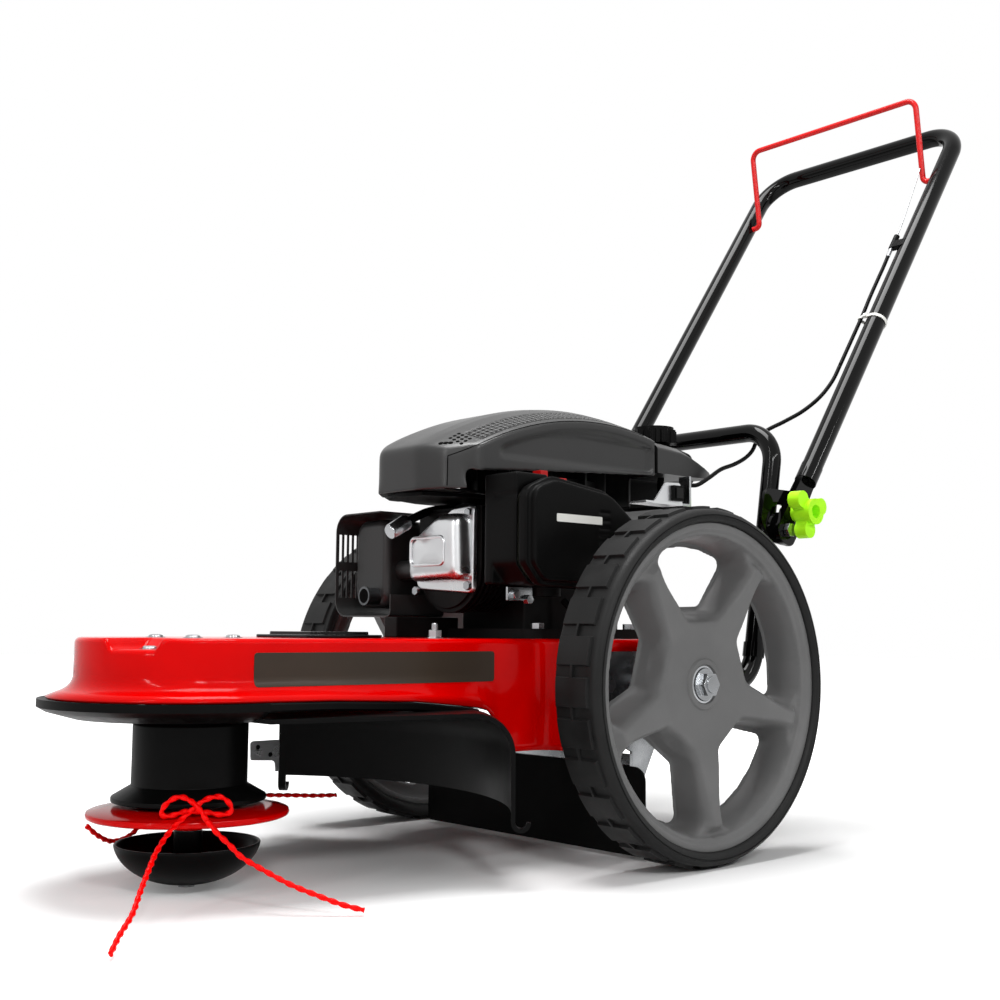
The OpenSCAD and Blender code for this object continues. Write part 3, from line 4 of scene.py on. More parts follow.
import bmesh
import bpy
from mathutils import Matrix, Vector


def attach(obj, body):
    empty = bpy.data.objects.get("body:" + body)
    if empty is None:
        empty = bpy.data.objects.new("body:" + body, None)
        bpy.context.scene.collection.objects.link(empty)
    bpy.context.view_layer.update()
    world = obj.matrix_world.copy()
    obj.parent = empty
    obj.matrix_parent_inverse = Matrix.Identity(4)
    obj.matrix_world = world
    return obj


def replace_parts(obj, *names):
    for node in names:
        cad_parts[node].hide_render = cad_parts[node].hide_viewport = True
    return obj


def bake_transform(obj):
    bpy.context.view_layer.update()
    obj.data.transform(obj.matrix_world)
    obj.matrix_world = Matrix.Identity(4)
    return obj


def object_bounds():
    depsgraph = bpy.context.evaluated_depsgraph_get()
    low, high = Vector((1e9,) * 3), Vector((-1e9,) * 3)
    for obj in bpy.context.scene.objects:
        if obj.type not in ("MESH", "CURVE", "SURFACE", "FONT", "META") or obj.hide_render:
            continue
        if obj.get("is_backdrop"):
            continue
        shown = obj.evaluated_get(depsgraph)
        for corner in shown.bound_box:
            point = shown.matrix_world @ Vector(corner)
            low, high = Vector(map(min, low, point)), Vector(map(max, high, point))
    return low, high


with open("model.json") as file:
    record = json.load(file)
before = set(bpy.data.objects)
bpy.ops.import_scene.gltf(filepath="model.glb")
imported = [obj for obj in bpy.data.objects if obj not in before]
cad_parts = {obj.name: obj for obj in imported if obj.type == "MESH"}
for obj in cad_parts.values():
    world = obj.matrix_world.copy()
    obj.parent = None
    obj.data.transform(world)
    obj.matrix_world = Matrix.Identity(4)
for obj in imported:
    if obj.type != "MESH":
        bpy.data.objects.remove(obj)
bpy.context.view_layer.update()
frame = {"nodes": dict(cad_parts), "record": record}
nodes = frame["nodes"]
scene = bpy.context.scene
MM = 0.001
# Points closer than this are one
TOUCHING = 0.01 * MM


def metres(*point):
    """A point given in millimetres, as a vector in metres."""
    return Vector(point) * MM


# Camera, solved from the photo's wheel, deck and handle

yaw = math.radians(228.25)
pitch = math.radians(5.69)
roll = math.radians(0.41)
forward = Vector((math.cos(yaw) * math.cos(pitch), math.sin(yaw) * math.cos(pitch), math.sin(pitch)))
level_right = forward.cross(Vector((0, 0, 1))).normalized()
level_up = level_right.cross(forward)
right = level_right * math.cos(roll) + level_up * math.sin(roll)
up = level_up * math.cos(roll) - level_right * math.sin(roll)
camera_data = bpy.data.cameras.new("photo_camera")
camera_data.lens = 46.72
camera_data.sensor_width = 36
camera = bpy.data.objects.new("photo_camera", camera_data)
scene.collection.objects.link(camera)
camera_place = metres(1023.0, 1067.65, 231.27)
camera.matrix_world = Matrix.Translation(camera_place) @ Matrix((right, up, -forward)).transposed().to_4x4()
scene.camera = camera


# Materials


def linear(hex_colour):
    """A hex colour as linear red, green, blue and alpha."""
    shares = [int(hex_colour[i:i + 2], 16) / 255 for i in (1, 3, 5)]
    return [c / 12.92 if c <= 0.04045 else ((c + 0.055) / 1.055) ** 2.4 for c in shares] + [1.0]


def add_node(tree, kind, values=None, **settings):
    """One shader node with its settings. A socket, by name or place, takes a value or another node's link."""
    node = tree.nodes.new(kind)
    for name, value in settings.items():
        setattr(node, name, value)
    for socket, value in (values or {}).items():
        if isinstance(value, bpy.types.NodeSocket):
            tree.links.new(value, node.inputs[socket])
        else:
            node.inputs[socket].default_value = value
    return node


def material(name, base, rough, metal=0.0, coat=0.0, grain=0.0, relief=0.0, worn=0.0, cloud=60.0, shine=0.5,
             shade=None):
    """A finish: grain and relief are the surface texture's width and depth in mm. Over patches that are
    cloud mm wide, the roughness drifts by worn and the colour drifts towards shade."""
    made = bpy.data.materials.new(name)
    made.use_nodes = True
    tree = made.node_tree
    shader = tree.nodes["Principled BSDF"]
    shader.inputs["Base Color"].default_value = linear(base)
    shader.inputs["Roughness"].default_value = rough
    shader.inputs["Metallic"].default_value = metal
    shader.inputs["Coat Weight"].default_value = coat
    shader.inputs["Coat Roughness"].default_value = 0.05
    shader.inputs["Specular IOR Level"].default_value = shine
    made.diffuse_color = linear(base)
    place = add_node(tree, "ShaderNodeTexCoord").outputs["Object"]
    if grain:
        speckle = add_node(tree, "ShaderNodeTexNoise", {"Vector": place, "Scale": 1 / (grain * MM),
                                                        "Detail": 3.0})
        dent = add_node(tree, "ShaderNodeBump", {"Strength": 1.0, "Distance": relief * MM,
                                                 "Height": speckle.outputs["Fac"]})
        tree.links.new(dent.outputs["Normal"], shader.inputs["Normal"])
    if worn or shade:
        patches = add_node(tree, "ShaderNodeTexNoise", {"Vector": place, "Scale": 1 / (cloud * MM),
                                                        "Detail": 4.0})
    if worn:
        drift = add_node(tree, "ShaderNodeMapRange", {"Value": patches.outputs["Fac"], "From Min": 0.3,
                                                      "From Max": 0.7, "To Min": rough - worn,
                                                      "To Max": rough + worn})
        tree.links.new(drift.outputs["Result"], shader.inputs["Roughness"])
    if shade:
        spread = add_node(tree, "ShaderNodeMapRange", {"Value": patches.outputs["Fac"], "From Min": 0.35,
                                                       "From Max": 0.7})
        # The mix has several sockets of one name, so its share and its two colours go by place
        blend = add_node(tree, "ShaderNodeMix", {0: spread.outputs["Result"], 6: linear(base),
                                                 7: linear(shade)}, data_type="RGBA")
        tree.links.new(blend.outputs[2], shader.inputs["Base Color"])
    return made


finishes = {
    # Wet-looking red enamel on pressed steel, with the faint waviness of sprayed paint
    "deck_paint": material("red_enamel", "#CE0000", 0.12, coat=0.04, grain=9, relief=0.02, worn=0.02,
                           shine=0.06, shade="#C40000"),
    # Deep black powder coat on tubes and brackets, glossy with a slight orange peel
    "black_paint": material("black_powder_coat", "#020202", 0.09, grain=2.2, relief=0.004, worn=0.02,
                            shine=0.16, shade="#040404"),
    # Dark moulded plastic with a fine leather grain that breaks up its highlights
    "black_plastic": material("black_polypropylene", "#060606", 0.36, grain=0.9, relief=0.04, worn=0.05,
                              shine=0.06, shade="#090909"),
    # The engine cover's softer charcoal plastic, matte and evenly grained
    "cover_plastic": material("charcoal_polypropylene", "#1A1A1A", 0.36, grain=0.8, relief=0.05,
                              worn=0.05, shine=0.45, shade="#1E1E1E"),
    # Mid grey wheel plastic with a dull moulded skin
    "rim_plastic": material("grey_wheel_nylon", "#626262", 0.44, grain=0.8, relief=0.03, worn=0.05,
                            shine=0.15, shade="#686868"),
    # Black rubber, dry on the blocks and greyer where dust has stayed
    "tyre_rubber": material("tyre_rubber", "#131313", 0.5, grain=1.1, relief=0.06, worn=0.1, cloud=25,
                            shine=0.16, shade="#1A1A1A"),
    # Thin rubber sheet, flat and dark
    "flap_rubber": material("sheet_rubber", "#050505", 0.6, grain=1.4, relief=0.05, worn=0.08, shine=0.06,
                            shade="#080808"),
    # Bright zinc plating with cloudy dull patches
    "zinc_steel": material("zinc_plated_steel", "#B0B2B4", 0.24, metal=1.0, grain=1.6, relief=0.01,
                           worn=0.08, cloud=26, shade="#A4A6A9"),
    # Black-painted rough casting that swallows most of the light
    "engine_castings": material("painted_casting", "#090909", 0.45, grain=1.8, relief=0.1, worn=0.08,
                                cloud=30, shine=0.1, shade="#0E0E0E"),
    # Silver aluminium pressing with a satin sheen
    "bright_castings": material("satin_aluminium", "#DADBDC", 0.3, metal=1.0, grain=1.2, relief=0.02,
                                worn=0.06, shade="#CFD0D2"),
    # Bare turned steel with darker wear
    "pulley_steel": material("turned_steel", "#6E7072", 0.36, metal=1.0, worn=0.12, cloud=12,
                             shade="#585A5C"),
    # Red powder coat on the thin bail rod
    "red_paint": material("red_powder_coat", "#CF1414", 0.3, grain=1.5, relief=0.01, worn=0.05, shine=0.3,
                          shade="#C21010"),
    # Bright red moulded plastic
    "red_plastic": material("red_nylon", "#C40606", 0.32, grain=1.0, relief=0.015, worn=0.05, shine=0.3,
                            shade="#B80505"),
    # Hard shiny line with a saturated red through its depth
    "line_nylon": material("line_nylon", "#FF0202", 0.34, worn=0.04, cloud=6, shine=0.1, shade="#F00202"),
    # Acid lime plastic that stays bright on its shaded sides
    "knob_plastic": material("lime_polypropylene", "#B4FF24", 0.4, grain=0.8, relief=0.02, worn=0.04,
                             shine=0.2, shade="#AAF41E"),
    # Warm yellow plastic cap
    "yellow_plastic": material("yellow_polypropylene", "#D8B41C", 0.42, grain=0.9, relief=0.02, worn=0.05,
                               shine=0.3, shade="#CCA814"),
    # Open grey foam
    "filter_foam": material("filter_foam", "#5A5A50", 0.9, grain=1.6, relief=0.4, shine=0.1,
                            shade="#4A4A42"),
}

# Smooth dark film, flat and slightly glossy
panel_film = material("bare_panel_film", "#33291F", 0.34, grain=3, relief=0.006, worn=0.05, shine=0.25,
                      shade="#2D241B")
# Heat-proof dark grey on the exhaust, dull and slightly grainy
exhaust_paint = material("exhaust_paint", "#202020", 0.4, grain=0.9, relief=0.06, worn=0.06, shine=0.4,
                         shade="#262626")
# Milky nylon of a cable tie
tie_nylon = material("white_nylon", "#E4E4DF", 0.38, grain=1.0, relief=0.01, worn=0.05, shine=0.3,
                     shade="#D8D8D2")
# Painted shade: near-black for the shadowed void behind grille holes and inside seams
dark_gap = material("dark_gap", "#030303", 0.9, grain=2.0, relief=0.02, shine=0.05)


def smooth_edges(piece, width, angle=32):
    """Rounds a piece's hard edges by a small real radius so that they catch the light."""
    weld = piece.modifiers.new("join", "WELD")
    weld.merge_threshold = TOUCHING
    flat = piece.modifiers.new("flat_faces", "DECIMATE")
    flat.decimate_type = "DISSOLVE"
    flat.angle_limit = math.radians(0.4)
    if width:
        bevel = piece.modifiers.new("edge_radius", "BEVEL")
        bevel.width = width * MM
        bevel.segments = 2
        bevel.limit_method = "ANGLE"
        bevel.angle_limit = math.radians(angle)
        bevel.use_clamp_overlap = True
    split = piece.modifiers.new("hard_edges", "EDGE_SPLIT")
    split.split_angle = math.radians(angle + 6)
    split.use_edge_sharp = False
    piece.modifiers.new("even_light", "WEIGHTED_NORMAL").keep_sharp = True


slot_of = {part["node"]: part["material_slot"] for part in frame["record"]["subparts"]}
usual_edge = 0.4
edge_width = {
    "fuel_cap": 0.8, "left_knob": 1.2, "right_knob": 1.2, "belt_cover": 0.8, "debris_shield": 0.8,
    "rear_flap": 0.6, "axle_brackets": 0.6, "handle_brackets": 0.6, "crankcase": 0.8, "cylinder_head": 0.8,
    "spindle_housing": 0.8, "starter_grip": 1.0, "oil_cap": 0.8,
}
for name, part in nodes.items():
    part.data.materials.clear()
    part.data.materials.append(finishes[slot_of[name]])
    for face in part.data.polygons:
        face.use_smooth = True
    custom = part.data.attributes.get("custom_normal")
    if custom:
        part.data.attributes.remove(custom)
    smooth_edges(part, edge_width.get(name, usual_edge))

# The head's housing has the duller skin of the plastic beside it
nodes["spindle_housing"].data.materials[0] = finishes["black_plastic"]


# Makers of the pieces that take the place of plainer parts


def new_piece(name, mesh, finish, body):
    """A finished mesh that moves with one body."""
    if isinstance(mesh, bmesh.types.BMesh):
        made = bpy.data.meshes.new(name)
        mesh.normal_update()
        mesh.to_mesh(made)
        mesh.free()
        mesh = made
    for face in mesh.polygons:
        face.use_smooth = True
    mesh.materials.append(finish)
    piece = bpy.data.objects.new(name, mesh)
    scene.collection.objects.link(piece)
    if body:
        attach(piece, body)
    return piece


def fitted_piece(name, mesh, slot, body="chassis", finish=None, edge=0, angle=32, node=None):
    """A new piece with its edges rounded, which takes the place of a part where one is named."""
    piece = new_piece(name, mesh, finishes[slot] if finish is None else finish, body)
    smooth_edges(piece, edge, angle)
    if node:
        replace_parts(piece, node)


def smooth_path(points, steps):
    """A Catmull-Rom path through points, with the same steps between each two."""
    path = []
    last = len(points) - 1
    for i in range(last):
        a, b, c, d = points[max(i - 1, 0)], points[i], points[i + 1], points[min(i + 2, last)]
        for step in range(steps):
            t = step / steps
            path.append(0.5 * (2 * b + (c - a) * t + (2 * a - 5 * b + 4 * c - d) * t * t
                               + (3 * b - a - 3 * c + d) * t * t * t))
    path.append(points[last])
    return path


def loft(rings, loop=False):
    """A closed skin over rings of points that all have the same count. A loop joins the last to the first."""
    mesh = bmesh.new()
    rows = [[mesh.verts.new(point) for point in ring] for ring in rings]
    count = len(rows[0])
    for low, high in zip(rows, rows[1:] + rows[:1] if loop else rows[1:]):
        for k in range(count):
            n = (k + 1) % count
            mesh.faces.new((low[k], low[n], high[n], high[k]))
    if not loop:
        mesh.faces.new(list(reversed(rows[0])))
        mesh.faces.new(rows[-1])
    return mesh


def outward(mesh):
    """Turns the faces of a closed mesh to the outside."""
    bmesh.ops.recalc_face_normals(mesh, faces=mesh.faces)
    return mesh


def lathe(profile, centre, sides=72):
    """A closed profile of radius and height in mm, turned about an upright axis."""
    rings = []
    for k in range(sides):
        a = 2 * math.pi * k / sides
        rings.append([metres(centre[0] + r * math.cos(a), centre[1] + r * math.sin(a), z)
                      for r, z in profile])
    mesh = loft(rings, loop=True)
    bmesh.ops.remove_doubles(mesh, verts=mesh.verts, dist=TOUCHING)
    return outward(mesh)


def tube(path, profile):
    """A closed tube along a path. The profile gives the ring's points for a distance along it."""
    rings = []
    last = len(path) - 1
    way = (path[1] - path[0]).normalized()
    side = way.cross(Vector((0, 0, 1)) if abs(way.z) < 0.9 else Vector((1, 0, 0))).normalized()
    run = 0.0
    for i, point in enumerate(path):
        way = (path[min(i + 1, last)] - path[max(i - 1, 0)]).normalized()
        side = (side - way * side.dot(way)).normalized()
        other = way.cross(side)
        run += (point - path[i - 1]).length if i else 0.0
        rings.append([point + side * x + other * y for x, y in profile(run)])
    return loft(rings)


def round_profile(radius, sides=14):
    """A plain round section, the same all along a tube."""
    ring = [(radius * math.cos(2 * math.pi * k / sides), radius * math.sin(2 * math.pi * k / sides))
            for k in range(sides)]
    return lambda run: ring


def twisted_profile(radius, pitch_mm, sides=16):
    """The section of a line of two strands that turn once in each pitch."""
    # How far the strands stand out, as a share of the radius
    bulge = 0.24

    def ring(run):
        turn = 2 * math.pi * run / (pitch_mm * MM)
        points = []
        for k in range(sides):
            a = 2 * math.pi * k / sides
            r = radius * (1.0 + bulge * math.cos(2 * a))
            points.append((r * math.cos(a + turn), r * math.sin(a + turn)))
        return points

    return ring


def rounded_outline(corners, radii, steps=7):
    """A closed outline of corners in a plane, each rounded by its own radius."""
    outline = []
    for i, radius in enumerate(radii):
        corner = Vector(corners[i])
        before = (Vector(corners[i - 1]) - corner).normalized()
        after = (Vector(corners[(i + 1) % len(corners)]) - corner).normalized()
        reach = radius / math.tan(before.angle(after) / 2)
        for k in range(steps + 1):
            t = k / steps
            outline.append(corner + before * reach * (1 - t) * (1 - t) + after * reach * t * t)
    return outline


def cushion(outline, levels, half):
    """An outline across the machine stacked forwards. Levels give the place and how far it draws in."""
    middle = sum(outline, Vector((0, 0))) / len(outline)
    rings = []
    for x, inset in levels:
        spots = [middle + (p - middle) * (1 - inset / half) for p in outline]
        rings.append([metres(x, p.x, p.y) for p in spots])
    return outward(loft(rings))


def block(centre, size, ways=((1, 0, 0), (0, 1, 0), (0, 0, 1))):
    """A plain block given by its middle, its three lengths and their directions."""
    mesh = bmesh.new()
    turn = Matrix(ways).transposed()
    bmesh.ops.create_cube(mesh, size=1.0)
    for vert in mesh.verts:
        stretched = Vector([c * s for c, s in zip(vert.co, size)])
        vert.co = metres(*(Vector(centre) + turn @ stretched))
    return mesh


def side_plate(outline, levels):
    """A flat plate with its outline as seen from the side, between two distances from the middle."""
    return outward(loft([[metres(p.x, y, p.y) for p in outline] for y in levels]))


def add_pit(mesh, place, radius, depth):
    """Adds a thin round plug, which reads as a hole when its finish is painted shade."""
    bmesh.ops.create_cone(mesh, cap_ends=True, segments=20, radius1=radius * MM, radius2=radius * MM,
                          depth=depth * MM, matrix=place)


def ease(t):
    """A share from 0 to 1 that starts and ends softly."""
    t = min(max(t, 0.0), 1.0)
    return t * t * (3 - 2 * t)


both_sides = (("left", 1), ("right", -1))


# Trimmer lines: each is threaded over the disk, with two free ends

line_radius = 2 * MM
line_twist = 19
route_steps = 14
front_route = [metres(*p) for p in (
    (605.4, 197.5, 5.2), (591, 180, 12), (571, 159, 21), (554, 137, 32), (537, 116, 43), (524, 101, 52),
    (510, 90, 62), (498, 84, 70), (486, 80, 77), (477, 79, 83), (467, 79, 88), (456, 80, 89),
    (449, 83, 84), (447, 84, 77), (454, 82, 74), (463, 76, 76), (472, 69, 77), (481, 65, 77),
    (488, 63, 75), (496, 60, 74), (498, 59, 79), (493, 63, 87), (485, 69, 90), (479, 82, 84),
    (474, 92, 72), (470, 102, 63), (464, 112, 54), (458, 121, 45), (447, 134, 36), (432, 152, 25),
    (417, 167, 17), (400, 182, 9), (386, 193, 4.5))]
rear_route = [metres(*p) for p in (
    (513, -51, 55), (500, -57, 45), (483, -66, 37), (464, -75, 37), (447, -85, 43), (434, -94, 54),
    (432, -97, 66), (438, -92, 75), (446, -82, 77), (440, -73, 76), (424, -73, 76), (405, -80, 76),
    (388, -86, 75), (366, -85, 71), (340, -80, 67), (313, -76, 64), (286, -73, 62), (260, -69, 60),
    (236, -66, 59))]


def trimmer_line(name, route, first, second):
    """One line: the stretch held on the disk, and the two tails from its rim. It leaves the rim at two of the
    route's points."""
    path = smooth_path(route, route_steps)
    strands = twisted_profile(line_radius, line_twist)
    held = path[first * route_steps:second * route_steps + 1]
    tails = [list(reversed(path[:first * route_steps + 1])), path[second * route_steps:]]
    loop = new_piece(name + "_loop", tube(held, strands), finishes["line_nylon"], "trimmer_head")
    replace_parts(loop, name)
    for end, tail in zip(("a", "b"), tails):
        piece = new_piece(name + "_tail_" + end, tube(tail, strands), finishes["line_nylon"], "trimmer_head")
        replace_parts(piece, name)


trimmer_line("front_line", front_route, 8, 24)
trimmer_line("rear_line", rear_route, 5, 12)


# Pressed deck: the wall flares at the nose, narrows along the sides and drops behind the shield

deck_top = 222
deck_sheet = 2.5
deck_edge = 5
head_x = 441
nose_r = 103
foot_low = 112
# The side walls run apart by this much over this length, and then bend out to the platform
wall_spread = 13
wall_run = 311
wall_out = Vector((wall_spread, wall_run, 0)).normalized()
bend_centre = Vector((130, 137.5, 0))
bend_r = 21.5
platform_y = 165
# The deck's top behind the bend is this wide
top_reach = 22
# The stamped pocket: its direction from the head and half its width in degrees, its start and its depth
pocket_turn = 31.5
pocket_half = 11.5
pocket_start = 52
pocket_depth = 9.5


def between(table, x):
    """Values between the rows of a table whose first column falls."""
    for row, after in zip(table, table[1:]):
        if x >= after[0]:
            t = min(max((row[0] - x) / (row[0] - after[0]), 0), 1)
            return [p + (q - p) * t for p, q in zip(row[1:], after[1:])]
    return list(table[-1][1:])


# Place along the machine, how far the foot flares, the flare's upper end and its edge
flare_table = [(441, 23, 180, 171), (371, 18.5, 180, 170), (278, 12.5, 180, 166), (225, 9.5, 180, 160),
               (200, 8.5, 179, 157), (190, 7, 174, 154), (180, 4, 166, 146), (174, 2, 156, 136),
               (170.5, 0.6, 140, 120), (169.5, 0, 130, foot_low), (100, 0, 130, foot_low)]


def wall_place(x):
    """The point of the left wall's face at one place along the machine."""
    return Vector((x, nose_r + (head_x - x) * wall_spread / wall_run, 0))


def wall_stations():
    """Places on the face of the deck's left wall from the tip of the nose back to the platform: the point,
    the way out of the wall, the point on the middle line that its top reaches, and the place along the
    machine."""
    head = Vector((head_x, 0, 0))
    stations = []
    for i in range(61):
        a = math.radians(1.5 * i)
        out = Vector((math.cos(a), math.sin(a), 0))
        stations.append((head + out * nose_r, out, head, head_x))
    for x in [head_x - 9 * i for i in range(1, 25)] + [222 - 2 * i for i in range(28)] + [160, 150, 140, 130]:
        stations.append((wall_place(x), wall_out, Vector((x, 0, 0)), x))
    for i in range(1, 9):
        a = math.radians(270 - 90 * i / 8)
        out = -Vector((math.cos(a), math.sin(a), 0))
        point = bend_centre - out * bend_r
        stations.append((point, out, point - out * top_reach, bend_centre.x))
    point = Vector((bend_centre.x - bend_r, platform_y, 0))
    stations.append((point, Vector((1, 0, 0)), point - Vector((top_reach, 0, 0)), point.x))
    return stations


def dip(point):
    """Depth of the stamped pocket in the left shoulder of the nose."""
    spoke = Vector((point.x - head_x, point.y))
    turn = abs(math.degrees(math.atan2(spoke.y, spoke.x)) - pocket_turn)
    return pocket_depth * ease((spoke.length - pocket_start) / 12) * (1 - ease((turn - pocket_half) / 4.5))


def wall_face(reach, x):
    """The wall's outer face at one place, from the middle line to the foot: distances out and heights."""
    flare, high, low = between(flare_table, x)
    face = [(-reach + (reach - deck_edge) * k / 16, deck_top) for k in range(16)]
    for degrees in range(0, 91, 15):
        a = math.radians(degrees)
        face.append((-deck_edge + deck_edge * math.sin(a), deck_top - deck_edge + deck_edge * math.cos(a)))
    run = Vector((flare, low - high))
    bend = Vector((0, high)) + run.normalized() * min(12, run.length * 0.6)
    for k in range(7):
        t = k / 6
        z = (1 - t) * (1 - t) * (high + 11) + 2 * t * (1 - t) * high + t * t * bend.y
        face.append((t * t * bend.x, z))
    face.append((flare, low))
    return face


def deck_ring(point, out, middle, x):
    """The wall's cross-section: its outer face, and back along the inside."""
    face = wall_face((point - middle).length, x)
    inside = []
    for k, (u, z) in enumerate(face):
        before = Vector(face[max(k - 1, 0)])
        after = Vector(face[min(k + 1, len(face) - 1)])
        way = (after - before).normalized()
        inside.append((u + way.y * deck_sheet, z - way.x * deck_sheet))
    ring = []
    for u, z in face + list(reversed(inside)):
        place = point + out * u + Vector((0, 0, z))
        place.z -= dip(place) * ease((z - 192) / 20)
        ring.append(place * MM)
    return ring


def mirrored(vector):
    """The same place or direction on the machine's other side."""
    return Vector((vector.x, -vector.y, vector.z))


left_wall = wall_stations()
right_wall = [(mirrored(p), mirrored(o), mirrored(m), x) for p, o, m, x in left_wall]
deck_mesh = loft([deck_ring(*station) for station in list(reversed(right_wall[1:])) + left_wall])
bmesh.ops.remove_doubles(deck_mesh, verts=deck_mesh.verts, dist=2 * TOUCHING)
deck_shell = new_piece("deck_shell", outward(deck_mesh), finishes["deck_paint"], "chassis")
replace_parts(deck_shell, "deck")


def platform_mesh():
    """The flat deck behind the nose, with its edge bent down."""
    corner = 18
    rear_x = -112
    front_x = 106.5
    path = []
    for side, start in ((1, 90), (-1, 180)):
        middle = Vector((rear_x + corner, side * (platform_y - corner), 0))
        for k in range(9):
            a = math.radians(start + 90 * k / 8)
            out = Vector((math.cos(a), math.sin(a), 0))
            path.append((middle + out * corner, out))
    for side in (-1, 1):
        path.append((Vector((front_x, side * platform_y, 0)), Vector((1, side, 0))))
    section = [(-9, 221.9), (-3, 221.9)]
    for degrees in (30, 60, 90):
        a = math.radians(degrees)
        section.append((-3 + 3 * math.sin(a), 218.9 + 3 * math.cos(a)))
    section += [(0, 210), (-2.5, 210), (-2.5, 219.4), (-9, 219.4)]
    rings = [[(p + o * u) * MM + Vector((0, 0, z * MM)) for u, z in section] for p, o in path]
    mesh = loft(rings, loop=True)
    mesh.verts.ensure_lookup_table()
    count = len(section)
    top = [mesh.verts[i * count] for i in range(len(path))]
    under = [mesh.verts[i * count + count - 1] for i in range(len(path))]
    mesh.faces.new(top)
    mesh.faces.new(list(reversed(under)))
    return outward(mesh)


deck_platform = new_piece("deck_platform", platform_mesh(), finishes["deck_paint"], "chassis")
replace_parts(deck_platform, "deck")

# Black edging that carries the shield's rim back along both sides of the deck
rim_low = 152.5
for name, wall in (("left", left_wall), ("right", right_wall)):
    rings = []
    for point, out, _, x in wall:
        on_nose = x == head_x and abs(out.x) > 0.01
        if on_nose or not 204 <= x <= head_x:
            continue
        flare, _, low = between(flare_table, x)
        lip = flare + 1.5 + 5.5 * ease((x - 240) / 190)
        section = [(flare - 7, low - 7), (flare - 1, low - 3.4), (lip - 1, low - 2.2), (lip, low - 3.2),
                   (lip, low - 8), (lip - 1.2, low - 9.4), (flare - 2, low - 10), (flare - 9, low - 10)]
        rings.append([(point + out * u) * MM + Vector((0, 0, max(z, rim_low) * MM)) for u, z in section])
    fitted_piece(name + "_shield_rim", outward(loft(rings)), "black_plastic")


# Bare dark panel on the left wall

panel_front = 440
panel_back = 178
panel_top = 210
panel_tall = 29
panel_corner = 3


def panel_mesh():
    """A thin film with round corners that follows the wall's face."""
    ends = (0, 0.3, 0.9, 1.8, panel_corner)
    places = [panel_front - e for e in ends] + [431 - 9 * i for i in range(28)]
    places += [panel_back + e for e in reversed(ends)]
    rings = []
    for x in places:
        near = min(panel_front - x, x - panel_back, panel_corner)
        inset = panel_corner - math.sqrt(panel_corner ** 2 - (panel_corner - near) ** 2)
        point = wall_place(x)
        face = [(u, z) for u, z in wall_face(point.y, x) if z < deck_top - deck_edge]
        spots = []
        for k in range(8):
            z = panel_top - inset - (panel_tall - 2 * inset) * k / 7
            for (u, upper), (v, lower) in zip(face, face[1:]):
                if lower <= z <= upper:
                    spots.append((u + (v - u) * (upper - z) / max(upper - lower, 0.001), z))
                    break
            else:
                spots.append((face[0][0], z))
        ring = [(u + 0.4, z) for u, z in spots] + [(u - 0.4, z) for u, z in reversed(spots)]
        rings.append([(point + wall_out * u) * MM + Vector((0, 0, z * MM)) for u, z in ring])
    return outward(loft(rings))


fitted_piece("bare_panel", panel_mesh(), "black_plastic", finish=panel_film)

# Low round bolt heads on the nose
bolt_places = [(461, 34.64, 221.6), (461, -34.64, 221.6), (401, 0, 221.6), (504, 39, 212.2)]
bolt_mesh = bmesh.new()
for x, y, z in bolt_places:
    profile = [(0, z), (8.6, z), (8.6, z + 0.8), (6.6, z + 1), (6.2, z + 2.2), (4.5, z + 3), (0, z + 3.2)]
    head = lathe(profile, (x, y), 24)
    part = bpy.data.meshes.new("bolt_head")
    head.to_mesh(part)
    head.free()
    bolt_mesh.from_mesh(part)
fitted_piece("nose_bolt_heads", bolt_mesh, "zinc_steel", node="spindle_bolts")


# Tyres: raised blocks with a thin middle rib, over a rounded shoulder

# The tread's radius is also the height of the axles
wheel_r = 178
groove_r = 174.9
tyre_lugs = 29
# Radius and distance from the middle plane of the inner bead, the carcass and the outer bead
tyre_inner = [(161, 198), (163, 195.2), (166, 193.6), (170, 193.2), (173, 194.4), (174.6, 196.6)]
tyre_tread = [198.5, 199.1, 208, 217.2, 217.5, 220.1, 220.4, 229, 238.4, 239.2]
tyre_outer = [(175, 242), (174.6, 244.6), (173.2, 247.2), (171.2, 249.2), (169, 250.2), (168.6, 249.2),
              (167.8, 249.2), (167.4, 250.3), (165, 250), (162.6, 248.6), (161.2, 246.4), (161, 244)]
# Share of each block's pitch and whether the block stands there
tyre_steps = [(0.0, 1), (0.24, 1), (0.47, 1), (0.69, 1), (0.712, 0), (0.84, 0), (0.978, 0)]


def tyre_mesh(side):
    """One tyre as rings round the axle, several to each block and groove."""
    rings = []
    for lug in range(tyre_lugs):
        for share, stands in tyre_steps:
            a = 2 * math.pi * (lug + share) / tyre_lugs
            ring = list(tyre_inner)
            for k, y in enumerate(tyre_tread):
                rib = k in (4, 5)
                raised = (stands or rib) and 0 < k < len(tyre_tread) - 1
                ring.append((wheel_r if raised else groove_r, y))
            ring += tyre_outer
            rings.append([metres(r * math.sin(a), side * y, wheel_r + r * math.cos(a)) for r, y in ring])
    return outward(loft(rings, loop=True))


for name, side in both_sides:
    fitted_piece(name + "_tyre_blocks", tyre_mesh(side), "tyre_rubber", name + "_wheel", edge=0.5, angle=30,
                 node=name + "_tyre")


# Plain ring and bearing around each axle's end


def turned(profile, side, sides=40):
    """A closed profile of radius and distance from the middle plane, turned about the axle."""
    mesh = lathe(profile, (0, 0), sides)
    for vert in mesh.verts:
        vert.co = Vector((vert.co.x, side * vert.co.z, vert.co.y + wheel_r * MM))
    return outward(mesh)


